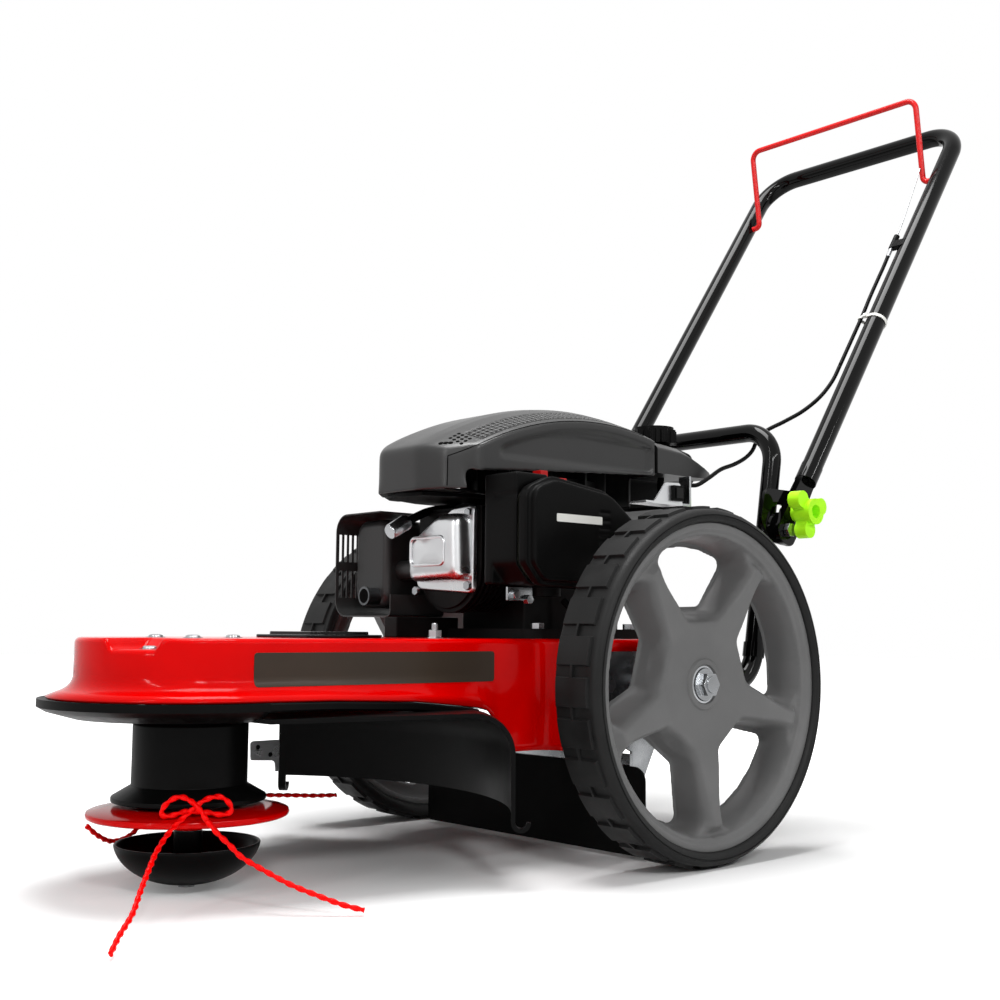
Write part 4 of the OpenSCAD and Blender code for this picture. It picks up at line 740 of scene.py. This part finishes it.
hub_ring = [(19, 224), (26, 224), (26, 229.4), (24.6, 231), (20, 231), (19, 229.6)]
hub_bearing = [(9, 225), (18.6, 225), (18.6, 229.6), (16.8, 230), (15.6, 228.6), (12, 228.6), (11, 229.4),
               (9, 229.4)]
for name, side in both_sides:
    for kind, profile, slot in (("_hub_ring", hub_ring, "rim_plastic"),
                                ("_hub_bearing", hub_bearing, "zinc_steel")):
        fitted_piece(name + kind, turned(profile, side), slot, name + "_wheel")


# Soft moulded edges on the engine's covers, the fuel tank and the rims

# Rounds of the wider melt
wide_rounds = 180
# The rim's spokes: the first one's direction and the step to the next in degrees, the radius at which they
# leave the hub, their face's distance from the middle plane, and the most that their sides slope back
spoke_turn = 52
spoke_step = 72
spoke_start = 60
spoke_face = 200
spoke_slope = 18
# The rim's lip: its inner radius, where it starts, and the share of its height that is kept
lip_r = 148
lip_start = 240
lip_kept = 0.45
tyre_bead = 161
# The filter housing's cut corner: where it starts along and across the machine, and its slope
corner_x = 171
corner_y = 90
corner_slope = 1.3
# The cover's arch, seen from the side, and the panel that is pressed into each flank of the cover
arch_centre = Vector((7, 0, 80))
flank_y = 84
flank_back = -76
flank_front = 146
flank_low = 404
flank_arch = 362
flank_depth = 2.6


def evaluated(piece):
    """The mesh that a piece's modifiers make."""
    return bpy.data.meshes.new_from_object(piece.evaluated_get(bpy.context.evaluated_depsgraph_get()))


def moulded(node, body, voxel, rounds, keep, shift=None, soft=None):
    """A copy of a part with its edges melted to the radius of a moulding. Keep is the share of faces left.
    Shift moves a point of its skin, in mm, and soft gives the share of a much wider melt at a point."""
    mesh = nodes[node].data.copy()
    mesh.transform(nodes[node].matrix_world)
    draft = bpy.data.objects.new(node + "_draft", mesh)
    scene.collection.objects.link(draft)
    remesh = draft.modifiers.new("even_skin", "REMESH")
    remesh.mode = "VOXEL"
    remesh.voxel_size = voxel * MM
    mesh = evaluated(draft)
    draft.modifiers.clear()
    draft.data = mesh
    if shift:
        for vert in mesh.vertices:
            vert.co = shift(vert.co / MM) * MM
    melt = draft.modifiers.new("melt", "SMOOTH")
    melt.factor = 0.5
    melt.iterations = rounds
    if soft:
        zone = draft.vertex_groups.new(name="soft_zone")
        for vert in mesh.vertices:
            zone.add([vert.index], soft(vert.co / MM), "REPLACE")
        melt = draft.modifiers.new("wide_melt", "SMOOTH")
        melt.factor = 0.5
        melt.iterations = wide_rounds
        melt.vertex_group = "soft_zone"
    thin = draft.modifiers.new("fewer_faces", "DECIMATE")
    thin.ratio = keep
    mesh = evaluated(draft)
    bpy.data.objects.remove(draft)
    mesh.materials.clear()
    piece = new_piece(node + "_moulding", mesh, finishes[slot_of[node]], body)
    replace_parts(piece, node)
    return piece


def slim_rim(point):
    """Draws a rim's lip in behind the tyre's bulge and leaves a narrow crest along each spoke."""
    up = Vector((point.x, 0, point.z - wheel_r))
    r = up.length
    out = abs(point.y)
    turn = (math.degrees(math.atan2(up.z, up.x)) - spoke_turn) % spoke_step
    beside = r * math.sin(math.radians(min(turn, spoke_step - turn)))
    if r > lip_r and out > lip_start:
        out = lip_start + (out - lip_start) * lip_kept
    elif out > spoke_face:
        crest = 15 - 9 * ease((r - 62) / 70)
        slope = max(beside - crest, 0) * 1.5 * ease((r - spoke_start) / 16) * (1 - ease((r - 132) / 14))
        sink = 4 * ease((r - spoke_start) / 70) + min(slope, spoke_slope)
        out -= sink * ease((out - spoke_face) / 26)
    if r > tyre_bead:
        up *= tyre_bead / r
    return Vector((up.x, math.copysign(out, point.y), up.z + wheel_r))


def cut_corner(point):
    """Takes the filter housing's inner front corner back from the valve cover."""
    point.x = min(point.x, corner_x - max(corner_y - point.y, 0) * corner_slope)
    return point


def pressed_side(point):
    """Sinks a long panel into each side of the engine cover under the strips of holes."""
    high = math.hypot(point.x - arch_centre.x, point.z - arch_centre.z)
    if abs(point.y) > flank_y:
        share = ease((point.x - flank_back) / 8) * (1 - ease((point.x - flank_front) / 10))
        share *= ease((point.z - flank_low) / 6) * (1 - ease((high - flank_arch) / 6))
        point.y -= math.copysign(flank_depth * share, point.y)
    return point


def soft_nose(point):
    """The wider melt's share, which is full at the upper front of the engine cover."""
    return ease((point.x - 178) / 14) * ease((point.z - 373) / 16)


bpy.context.view_layer.update()
cover = moulded("engine_cover", "chassis", voxel=1.2, rounds=10, keep=0.24, shift=pressed_side,
                soft=soft_nose)
moulded("fuel_tank", "chassis", voxel=1.5, rounds=10, keep=0.3)
moulded("filter_housing", "chassis", voxel=1.3, rounds=12, keep=0.25, shift=cut_corner)
filter_lid = moulded("filter_cover", "filter_cover", voxel=1.1, rounds=9, keep=0.25)
filter_lid.data.materials[0] = finishes["black_plastic"]
for name in ("left", "right"):
    moulded(name + "_rim", name + "_wheel", voxel=1.5, rounds=6, keep=0.16, shift=slim_rim)


# Seam across the cover and the larger holes at the front of its left strip, drawn as a dark tube and plugs of
# painted shade


def on_cover(start, way):
    """The place on the cover's skin that a line from a point in mm meets, and the skin's direction there."""
    found, place, normal, _ = cover.ray_cast(metres(*start), Vector(way))
    return (place, normal) if found else None


seam = [on_cover((300, 70, 374 + 3 * k), (-1, 0, 0)) for k in range(11)]
for k in range(34):
    a = math.radians(61 + 1.2 * k)
    start = (arch_centre.x + 384 * math.cos(a), 160, arch_centre.z + 376 * math.sin(a))
    seam.append(on_cover(start, (0, -1, 0)))
seam_path = [spot[0] for spot in seam if spot]
new_piece("cover_seam", tube(seam_path, round_profile(0.55 * MM, 8)), dark_gap, "chassis")
front_holes = [(202, 57.5, 2.7), (199, 61.5, 2.7), (196, 65.5, 2.7)]
front_holes += [(190 - 5.5 * k, 58 + 5.8 * row, 2.0) for k in range(3) for row in range(4)]
hole_mesh = bmesh.new()
for x, y, size in front_holes:
    spot = on_cover((x, y, 600), (0, 0, -1))
    if spot:
        turn = spot[1].to_track_quat("Z", "Y").to_matrix().to_4x4()
        add_pit(hole_mesh, Matrix.Translation(spot[0] - spot[1] * 0.25 * MM) @ turn, size, 0.8)
new_piece("cover_front_holes", hole_mesh, dark_gap, "chassis")

# Dark tray that closes the cover's front from below
tray_corners = [(150, 60), (203, 62), (213, 35), (213, -28), (188, -55), (164, -78), (150, -80)]
tray_outline = rounded_outline(tray_corners, [2] * len(tray_corners), 3)
tray_mesh = outward(loft([[metres(p.x, p.y, z) for p in tray_outline] for z in (371.6, 373.4)]))
fitted_piece("cover_tray", tray_mesh, "black_plastic")

# Tail that carries the cover's sides on round the fuel tank: place along, half width, shoulder and lower edge
tail_table = [(-85.5, 94.6, 446, 409.5), (-110, 94.6, 444, 409.5), (-129, 94.4, 442, 409.5),
              (-145, 93.6, 437.5, 409.5), (-161, 92.6, 431, 409.8), (-175, 90.4, 425.5, 410.4),
              (-187, 86.6, 421, 411.2), (-196, 81, 418, 412), (-202, 74.5, 415.8, 412.6),
              (-205.5, 66, 414.2, 413)]
tail_rings = []
for x, side, top, low in tail_table:
    lift = 0.5 * (top - low)
    inner = -80 * side / 95
    corners = [(side, low), (side, top - 0.4 * lift), (side - 9, top), (inner + 9, top), (inner, low)]
    radii = [0.4, 0.3 * lift, 0.3 * lift, 0.3 * lift, 0.4]
    tail_rings.append([metres(x, p.x, p.y) for p in rounded_outline(corners, radii)])
fitted_piece("cover_tail", outward(loft(tail_rings)), "cover_plastic", angle=50)

# Plain rocker switch on a bright plate beside the tank
switch_outline = rounded_outline([(-16, 368), (-30, 371), (-48, 392), (-72, 393), (-76, 368)],
                                 [1.5, 4, 5, 4, 2])
for name, mesh, slot in (("switch_plate", side_plate(switch_outline, (137, 139)), "bright_castings"),
                         ("switch_foot", block((-46, 125.5, 369.5), (58, 25, 2.6)), "bright_castings"),
                         ("switch_body", block((-65, 141, 381), (17, 4.6, 17)), "black_plastic"),
                         ("switch_rocker", block((-65, 143.6, 381), (11, 2.4, 12)), "black_paint")):
    fitted_piece(name, mesh, slot, edge=0.6)

# Dark foot of the engine under the cylinder
fitted_piece("engine_sill", block((136, -53, 233), (86, 22, 22)), "engine_castings", edge=1.5)


# Pressed valve cover: a flange with a rolled edge and a soft dome with a plain raised frame


def round_front(x, deep, inset, wide):
    """Levels of a cushion that turn a quarter round from its side into its front."""
    turns = [math.radians(10 * k) for k in range(1, 10)]
    return [(x + deep * math.sin(a), inset + wide * (1 - math.cos(a))) for a in turns]


flange_outline = rounded_outline([(-46, 274), (48, 268), (49, 360), (14, 358), (-46, 326)],
                                 [10, 8, 8, 16, 20])
dome_outline = rounded_outline([(-40, 281), (46, 281), (43, 352), (14, 352), (-40, 322)], [9, 11, 13, 28, 24])
dome_levels = [(149, 0), (159, 0.6)] + round_front(159, 11.5, 0.6, 11) + [(171, 16), (171.6, 24), (171.9, 32)]
frame_outline = rounded_outline([(-29, 298), (26, 298), (26, 327), (-29, 327)], [7] * 4)
frame_path = [metres(171.2, p.x, p.y) for p in frame_outline]
for name, mesh in (
        ("valve_flange", cushion(flange_outline, [(145, 0), (148.4, 0), (149.6, 0.6), (150, 1.6)], 42)),
        ("valve_dome", cushion(dome_outline, dome_levels, 40)),
        ("valve_frame", tube(frame_path + frame_path[:1], round_profile(1.7 * MM)))):
    fitted_piece(name, mesh, "bright_castings", angle=44, node="valve_cover")


# Muffler: a pressed box with soft edges and a short outlet

outlet_at = (-106, 267)


def outlet_pipe(back, front, radius):
    """A round stretch of the outlet, which points straight ahead."""
    return tube([metres(x, *outlet_at) for x in (back, front)], round_profile(radius * MM, 28))


muffler_outline = rounded_outline([(-147, 254), (-88, 254), (-88, 353), (-147, 353)], [16] * 4)
muffler_levels = [(88, 12), (90, 7), (94, 3), (100, 0), (151, 0)] + round_front(151, 9, 0, 9)
inlet_pipe = tube([metres(136, y, 296) for y in (-96, -54)], round_profile(11 * MM, 28))
for name, mesh, finish in (
        ("muffler_body", cushion(muffler_outline, muffler_levels, 38), exhaust_paint),
        ("muffler_inlet", inlet_pipe, exhaust_paint),
        ("muffler_outlet", outlet_pipe(150, 176, 9.5), finishes["pulley_steel"]),
        ("muffler_outlet_lip", outlet_pipe(173, 176.5, 10.4), finishes["pulley_steel"]),
        # The outlet's bore is a dark disc of painted shade
        ("muffler_outlet_bore", outlet_pipe(175, 176.7, 8), dark_gap)):
    fitted_piece(name, mesh, slot_of["muffler"], finish=finish, angle=40, node="muffler")


# Guard round the muffler: one bent sheet with two rows of slots in its outer wall

guard_bend = 20
guard_y = -144
guard_rows = [(338, 307), (297, 266)]


def guard_arc(z, start):
    """A quarter bend in the guard about one height, from a direction in degrees."""
    turns = [math.radians(start + 90 * k / 8) for k in range(9)]
    return [(guard_y + guard_bend * math.cos(a), z + guard_bend * math.sin(a)) for a in turns]


guard_line = [(-80, 360)] + guard_arc(340, 90)
guard_line += [(guard_y - guard_bend, z) for row in guard_rows for z in row]
guard_line += guard_arc(264, 180) + [(-64, 244), (-60, 246), (-59, 250), (-59, 268)]
guard_steps = [100]
for k in range(8, -1, -1):
    guard_steps += [167 - 6.8 * k, 171 - 6.8 * k]
guard_steps.append(175)
guard_mesh = bmesh.new()
guard_grid = [[guard_mesh.verts.new(metres(x, y, z)) for x in guard_steps] for y, z in guard_line]
for i, (line, after) in enumerate(zip(guard_grid, guard_grid[1:])):
    slotted = (guard_line[i][1], guard_line[i + 1][1]) in guard_rows
    for j in range(len(guard_steps) - 1):
        if not (slotted and j % 2 == 1):
            guard_mesh.faces.new((line[j], line[j + 1], after[j + 1], after[j]))
bmesh.ops.solidify(outward(guard_mesh), geom=guard_mesh.faces[:], thickness=1.6 * MM)
fitted_piece("guard_shell", guard_mesh, slot_of["muffler_guard"], finish=exhaust_paint, edge=0.3,
             node="muffler_guard")


# Spark plug: a bright cap on a black lead that runs back under the cover

lead_points = [(178, -33, 343.5), (160, -33, 352), (145, -33, 358), (126, -31, 362), (104, -28, 362.5)]
lead_path = smooth_path([metres(*p) for p in lead_points], 6)
cap_path = [metres(x, -33, z) for x, z in ((174, 345.6), (176, 344.4), (195, 333.6), (197, 332.5))]
cap_sizes = [7.6, 8.6, 8.6, 7.4]
cap_run = [0.0]
for a, b in zip(cap_path, cap_path[1:]):
    cap_run.append(cap_run[-1] + (b - a).length)


def cap_profile(run):
    """The cap's section, with the size of the nearest of its rings."""
    nearest = min(range(len(cap_run)), key=lambda k: abs(cap_run[k] - run))
    return round_profile(cap_sizes[nearest] * MM, 24)(run)


for name, mesh, slot in (("plug_lead", tube(lead_path, round_profile(4.6 * MM)), "black_plastic"),
                         ("plug_cap", tube(cap_path, cap_profile), "zinc_steel")):
    fitted_piece(name, mesh, slot, angle=50, node="spark_plug")


# Thin red disk that carries the lines

disk_profile = [(9.2, 51.6), (12.5, 51.6), (13.5, 57), (20, 61), (34, 63), (80, 63.4), (86.5, 63.8),
                (88.4, 64.8), (89, 66.4), (89, 67.6), (88.3, 69.2), (86.6, 69.9), (84, 70.3), (66, 74.5),
                (9.2, 74.5)]
fitted_piece("disk_plate", lathe(disk_profile, (head_x, 0), 128), slot_of["line_disk"], "trimmer_head",
             finishes["deck_paint"], angle=35, node="line_disk")


# Round skid bowl under the head


def bowl_curve(wide, rim, deep, turns):
    """A rounded side of the bowl: how wide and deep it is, its rim's height, and the steps of 5 degrees."""
    curve = []
    for k in turns:
        a = math.radians(5 * k)
        curve.append((wide * math.sin(a) ** 0.85, rim - deep * math.cos(a) ** 1.25))
    return curve


bowl_profile = [(9.2, 4.6)] + bowl_curve(64, 40, 35.4, range(2, 19)) + [(63.5, 40.8), (62.3, 40.8)]
bowl_profile += bowl_curve(61.6, 39.9, 32.6, range(18, 2, -1)) + [(12.5, 8.6), (12.5, 50.8), (9.2, 50.8)]
fitted_piece("skid_bowl", lathe(bowl_profile, (head_x, 0), 96), slot_of["ground_bowl"], "trimmer_head",
             angle=40, node="ground_bowl")


# Cords as smooth tubes along their points


def bending_cord(node, points, radius):
    """A cord along points, left on no body, which takes the place of a part."""
    path = smooth_path([metres(*p) for p in points], 10)
    mesh = tube(path, round_profile(radius * MM))
    piece = new_piece(node + "_bend", mesh, finishes[slot_of[node]], None)
    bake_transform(piece)
    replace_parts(piece, node)


bending_cord("engine_cable", [
    (-116.2, 110, 396.6), (-125, 110, 397), (-138, 110, 399), (-164, 106, 410), (-190, 102, 422),
    (-220, 98, 431), (-244, 96, 441), (-260, 95, 452), (-268, 97, 466), (-278, 104, 478), (-294, 118, 489),
    (-314, 132, 503), (-336, 142, 522), (-356, 147, 544), (-372, 148, 566)], 2.5)
bending_cord("bail_wire", [(-515.5, 147, 765), (-531, 146.5, 788), (-553, 144.5, 822), (-575, 142.5, 856),
                           (-589.4, 141.06, 879)], 1.0)
grip_way = Vector((-0.55, -0.6, 0.58)).normalized()
rope_points = [Vector((-62, -95, 419)) + grip_way * (2 + 12 * k / 5) for k in range(6)]
bending_cord("starter_rope", rope_points, 2.0)
for node, body, radius, points in (
        ("handle_cable", "handle", 2.5, [
            (-491.3, 147, 731.5), (-480, 147, 715), (-466, 146.5, 695), (-446, 147, 668), (-428, 148, 643),
            (-410, 148, 618), (-391, 148, 592), (-372.3, 148, 566.4)]),
        ("fuel_hose", "chassis", 4.0, [
            (62, 92, 262), (58, 100, 254), (44, 106, 250), (20, 106, 252), (-10, 102, 262), (-40, 92, 282),
            (-62, 86, 312), (-92, 82, 334), (-122, 74, 350), (-132, 66, 376), (-128, 62, 394),
            (-128, 62, 409.6)])):
    mesh = tube(smooth_path([metres(*p) for p in points], 10), round_profile(radius * MM))
    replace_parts(new_piece(node + "_smooth", mesh, finishes[slot_of[node]], body), node)


# Small clamp on the left leg with the cable's bright adjuster

across = Vector((0, 1, 0))
ahead = Vector((0.809, 0, 0.588))
lean = Vector((-0.588, 0, 0.809))
leg_ways = (across, ahead, lean)
clip_at = Vector((-511.9, 165.5, 742.8))
barrel_at = clip_at + Vector((0, -18.5, 0)) + ahead * 10


def on_barrel(places, radius, sides):
    """A round stretch of the clip along the leg."""
    return tube([(barrel_at + lean * s) * MM for s in places], round_profile(radius * MM, sides))


clamp_mesh = block(clip_at + Vector((0, -9, 0)) + ahead * 9.5, (19, 8, 13), leg_ways)
for name, mesh, slot in (("clip_clamp", clamp_mesh, "black_plastic"),
                         ("clip_barrel", on_barrel((-7, 0, 14, 19), 4, 20), "black_plastic"),
                         ("clip_adjuster", on_barrel((-22, -14, -7), 3, 6), "zinc_steel")):
    fitted_piece(name, mesh, slot, "handle", edge=0.6, node="cable_clip")


# White tie that holds the cable to the handle's left leg

tie_centre = Vector((-429.2, 165.5, 629))
tie_steps = 40
# Centres and radii of the leg and of the cable, across the leg and ahead of it
tie_holds = ((Vector((0, 0)), 12.6), (Vector((-17.5, 8.9)), 2.6))
rings = []
for k in range(tie_steps):
    a = 2 * math.pi * k / tie_steps
    way = Vector((math.cos(a), math.sin(a)))
    spot, size = max(tie_holds, key=lambda hold: hold[0].dot(way) + hold[1])
    ring = []
    for thick, along in ((0, -2.2), (1.3, -2.2), (1.3, 2.2), (0, 2.2)):
        edge = spot + way * (size + thick)
        ring.append((tie_centre + across * edge.x + ahead * edge.y + lean * along) * MM)
    rings.append(ring)
fitted_piece("cable_tie", outward(loft(rings, loop=True)), "line_nylon", "handle", tie_nylon, edge=0.3)
tie_lock = block(tie_centre + Vector((0, -9, 0)) + ahead * 13.2, (6, 5, 5.5), leg_ways)
fitted_piece("tie_lock", tie_lock, "line_nylon", "handle", tie_nylon, edge=0.5)


# Small plates, lugs and studs

# Plain white strip on the filter's cover
label_outline = rounded_outline([(74, 337), (138, 337), (138, 345), (74, 345)], [1.2] * 4)
fitted_piece("blank_label", side_plate(label_outline, (159.2, 160.25)), "black_plastic", "filter_cover",
             tie_nylon)

# Bright plate at the right end of the shield, whose two holes are dark plugs of painted shade
plate_corners = [(226, 72), (231, 72), (232, 84), (263, 86), (264, 107), (226, 107)]
plate_outline = rounded_outline(plate_corners, [1, 1, 5, 3, 5, 2], 5)
fitted_piece("shield_plate", side_plate(plate_outline, (-193.8, -192)), "zinc_steel",
             finish=finishes["bright_castings"], edge=0.3)
hole_mesh = bmesh.new()
for x, z in ((254, 100), (238, 91)):
    place = Matrix.Translation(metres(x, -192.3, z)) @ Matrix.Rotation(math.radians(-90), 4, "X")
    add_pit(hole_mesh, place, 2.6, 0.9)
new_piece("shield_plate_holes", hole_mesh, dark_gap, "chassis")

# Bright lug with two screws under the filter housing
fitted_piece("filter_lug", block((136, 104, 267), (34, 3, 14)), "zinc_steel", edge=0.6)
for k, (x, z) in enumerate(((145, 266.5), (127, 261.5))):
    path = [metres(x, y, z) for y in (104, 110, 111)]
    fitted_piece("filter_screw_%d" % k, tube(path, round_profile(5 * MM, 6)), "zinc_steel", edge=0.5)

# Stud and nut beside the engine
stud_profile = [(0, 221), (3.2, 221), (3.2, 236), (2.4, 237), (0, 237)]
nut_profile = [(0, 221.5), (8.5, 221.5), (8.5, 223), (7.2, 223.2), (7.2, 230), (0, 230)]
for name, profile, sides in (("deck_stud", stud_profile, 20), ("deck_stud_nut", nut_profile, 6)):
    fitted_piece(name, lathe(profile, (205, 55), sides), "zinc_steel", edge=0.3)


# Perforated strips in the cover's shoulders

# Distances from the arch's centre and from the middle plane of a strip's upper and lower edge
band_top = Vector((389, 62))
band_low = Vector((380, 86))


def band_point(turn, across, sink):
    """A point on a shoulder strip: degrees along the arch, mm down from its top edge, mm under its face."""
    way = (band_low - band_top).normalized()
    under = Vector((way.y, -way.x))
    spot = band_top + way * across - under * sink
    a = math.radians(turn)
    return Vector((arch_centre.x + spot.x * math.cos(a), spot.y, arch_centre.z + spot.x * math.sin(a))) * MM


def grille_mesh(start, side):
    """One strip as a grid of cells from a start in degrees, each with a round hole right through."""
    mesh = bmesh.new()
    columns = 38
    rows = 4
    corners = 16
    hole = 2.05
    deep = 2.6
    end = 102.5
    margin = 1.3
    strip = 25.6
    # Degrees along the arch for each mm
    per_mm = math.degrees(1 / 385)
    wide = (end - start) / columns
    tall = (strip - 2 * margin) / rows
    for col in range(columns):
        for row in range(rows):
            mid_turn = start + (col + 0.5) * wide
            mid_across = margin + (row + 0.5) * tall
            edge, rim, bore, back = [], [], [], []
            for k in range(corners):
                a = 2 * math.pi * k / corners
                u, v = math.cos(a), math.sin(a)
                grow = 1 / max(abs(u), abs(v))
                for points, span_u, span_v, sink in ((edge, u * grow * wide / 2, v * grow * tall / 2, 0),
                                                     (rim, u * hole * per_mm, v * hole, 0),
                                                     (bore, u * hole * per_mm, v * hole, deep),
                                                     (back, u * grow * wide / 2, v * grow * tall / 2, deep)):
                    spot = band_point(mid_turn + span_u, mid_across + span_v, sink)
                    spot.y *= side
                    points.append(mesh.verts.new(spot))
            for k in range(corners):
                n = (k + 1) % corners
                mesh.faces.new((edge[k], edge[n], rim[n], rim[k]))
                mesh.faces.new((rim[k], rim[n], bore[n], bore[k]))
                mesh.faces.new((bore[k], bore[n], back[n], back[k]))
    bmesh.ops.remove_doubles(mesh, verts=mesh.verts, dist=3 * TOUCHING)
    bmesh.ops.bridge_loops(mesh, edges=[side_edge for side_edge in mesh.edges if side_edge.is_boundary])
    return outward(mesh)


for name, start, side in (("left", 64.5, 1), ("right", 70, -1)):
    grille = new_piece(name + "_grille", grille_mesh(start, side), finishes["cover_plastic"], "chassis")
    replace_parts(grille, "shoulder_grilles")


# Floor, light and background

floor_half = 9
floor_mesh = bmesh.new()
for x, y in ((-1, -1), (1, -1), (1, 1), (-1, 1)):
    floor_mesh.verts.new((x * floor_half, y * floor_half, 0))
floor_mesh.faces.new(floor_mesh.verts)
floor_data = bpy.data.meshes.new("floor")
floor_mesh.to_mesh(floor_data)
floor_mesh.free()
floor = bpy.data.objects.new("floor", floor_data)
# Pale seamless paper, which turns to plain white away from the machine
paper = material("studio_paper", "#F2F2F2", 0.9, grain=5, relief=0.01, shine=0.05)
tree = paper.node_tree
shader = tree.nodes["Principled BSDF"]
rays = add_node(tree, "ShaderNodeLightPath")
where = add_node(tree, "ShaderNodeNewGeometry")
reach = add_node(tree, "ShaderNodeVectorMath", {0: where.outputs["Position"]}, operation="LENGTH")
far = add_node(tree, "ShaderNodeMapRange", {"Value": reach.outputs["Value"], "From Min": 0.2,
                                            "From Max": 1.25}, interpolation_type="SMOOTHSTEP")
glow = add_node(tree, "ShaderNodeMath", {0: far.outputs["Result"], 1: rays.outputs["Is Camera Ray"]},
                operation="MULTIPLY")
tree.links.new(glow.outputs[0], shader.inputs["Emission Strength"])
shader.inputs["Emission Color"].default_value = (1, 1, 1, 1)
floor_data.materials.append(paper)
scene.collection.objects.link(floor)
floor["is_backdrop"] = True


def softbox(name, place, target, width, height, power):
    """A soft rectangular light aimed at a point."""
    data = bpy.data.lights.new(name, "AREA")
    data.shape = "RECTANGLE"
    data.size = width
    data.size_y = height
    data.energy = power
    lamp = bpy.data.objects.new(name, data)
    scene.collection.objects.link(lamp)
    lamp.location = place
    lamp.rotation_euler = (Vector(target) - Vector(place)).to_track_quat("-Z", "Y").to_euler()


softbox("overhead", (0.2, 0.0, 2.5), (0.1, 0, 0), 1.2, 1.2, 62)
softbox("front_strip", (2.4, 0.6, 1.7), (0.2, 0, 0.3), 0.05, 2.0, 18)
softbox("side_key", (1.3, 2.3, 1.7), (0.1, 0.2, 0.2), 0.4, 0.4, 20)
softbox("left_strip", (-0.3, 2.3, 1.6), (0, 0, 0.4), 2.0, 0.04, 14)

world = bpy.data.worlds.new("studio")
scene.world = world
world.use_nodes = True
tree = world.node_tree
tree.nodes.clear()
rays = add_node(tree, "ShaderNodeLightPath")
seen = add_node(tree, "ShaderNodeMath", {0: rays.outputs["Is Camera Ray"], 1: rays.outputs["Is Glossy Ray"]},
                operation="MAXIMUM")
clear = add_node(tree, "ShaderNodeMath", {0: seen.outputs[0], 1: rays.outputs["Is Transmission Ray"]},
                 operation="MAXIMUM")
fill = add_node(tree, "ShaderNodeBackground", {"Color": (1, 1, 1, 1), "Strength": 0.22})
white = add_node(tree, "ShaderNodeBackground", {"Color": (1, 1, 1, 1), "Strength": 1.0})
mix = add_node(tree, "ShaderNodeMixShader", {"Fac": clear.outputs[0], 1: fill.outputs[0],
                                             2: white.outputs[0]})
add_node(tree, "ShaderNodeOutputWorld", {"Surface": mix.outputs[0]})
scene.view_settings.view_transform = "Standard"

low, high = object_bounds()
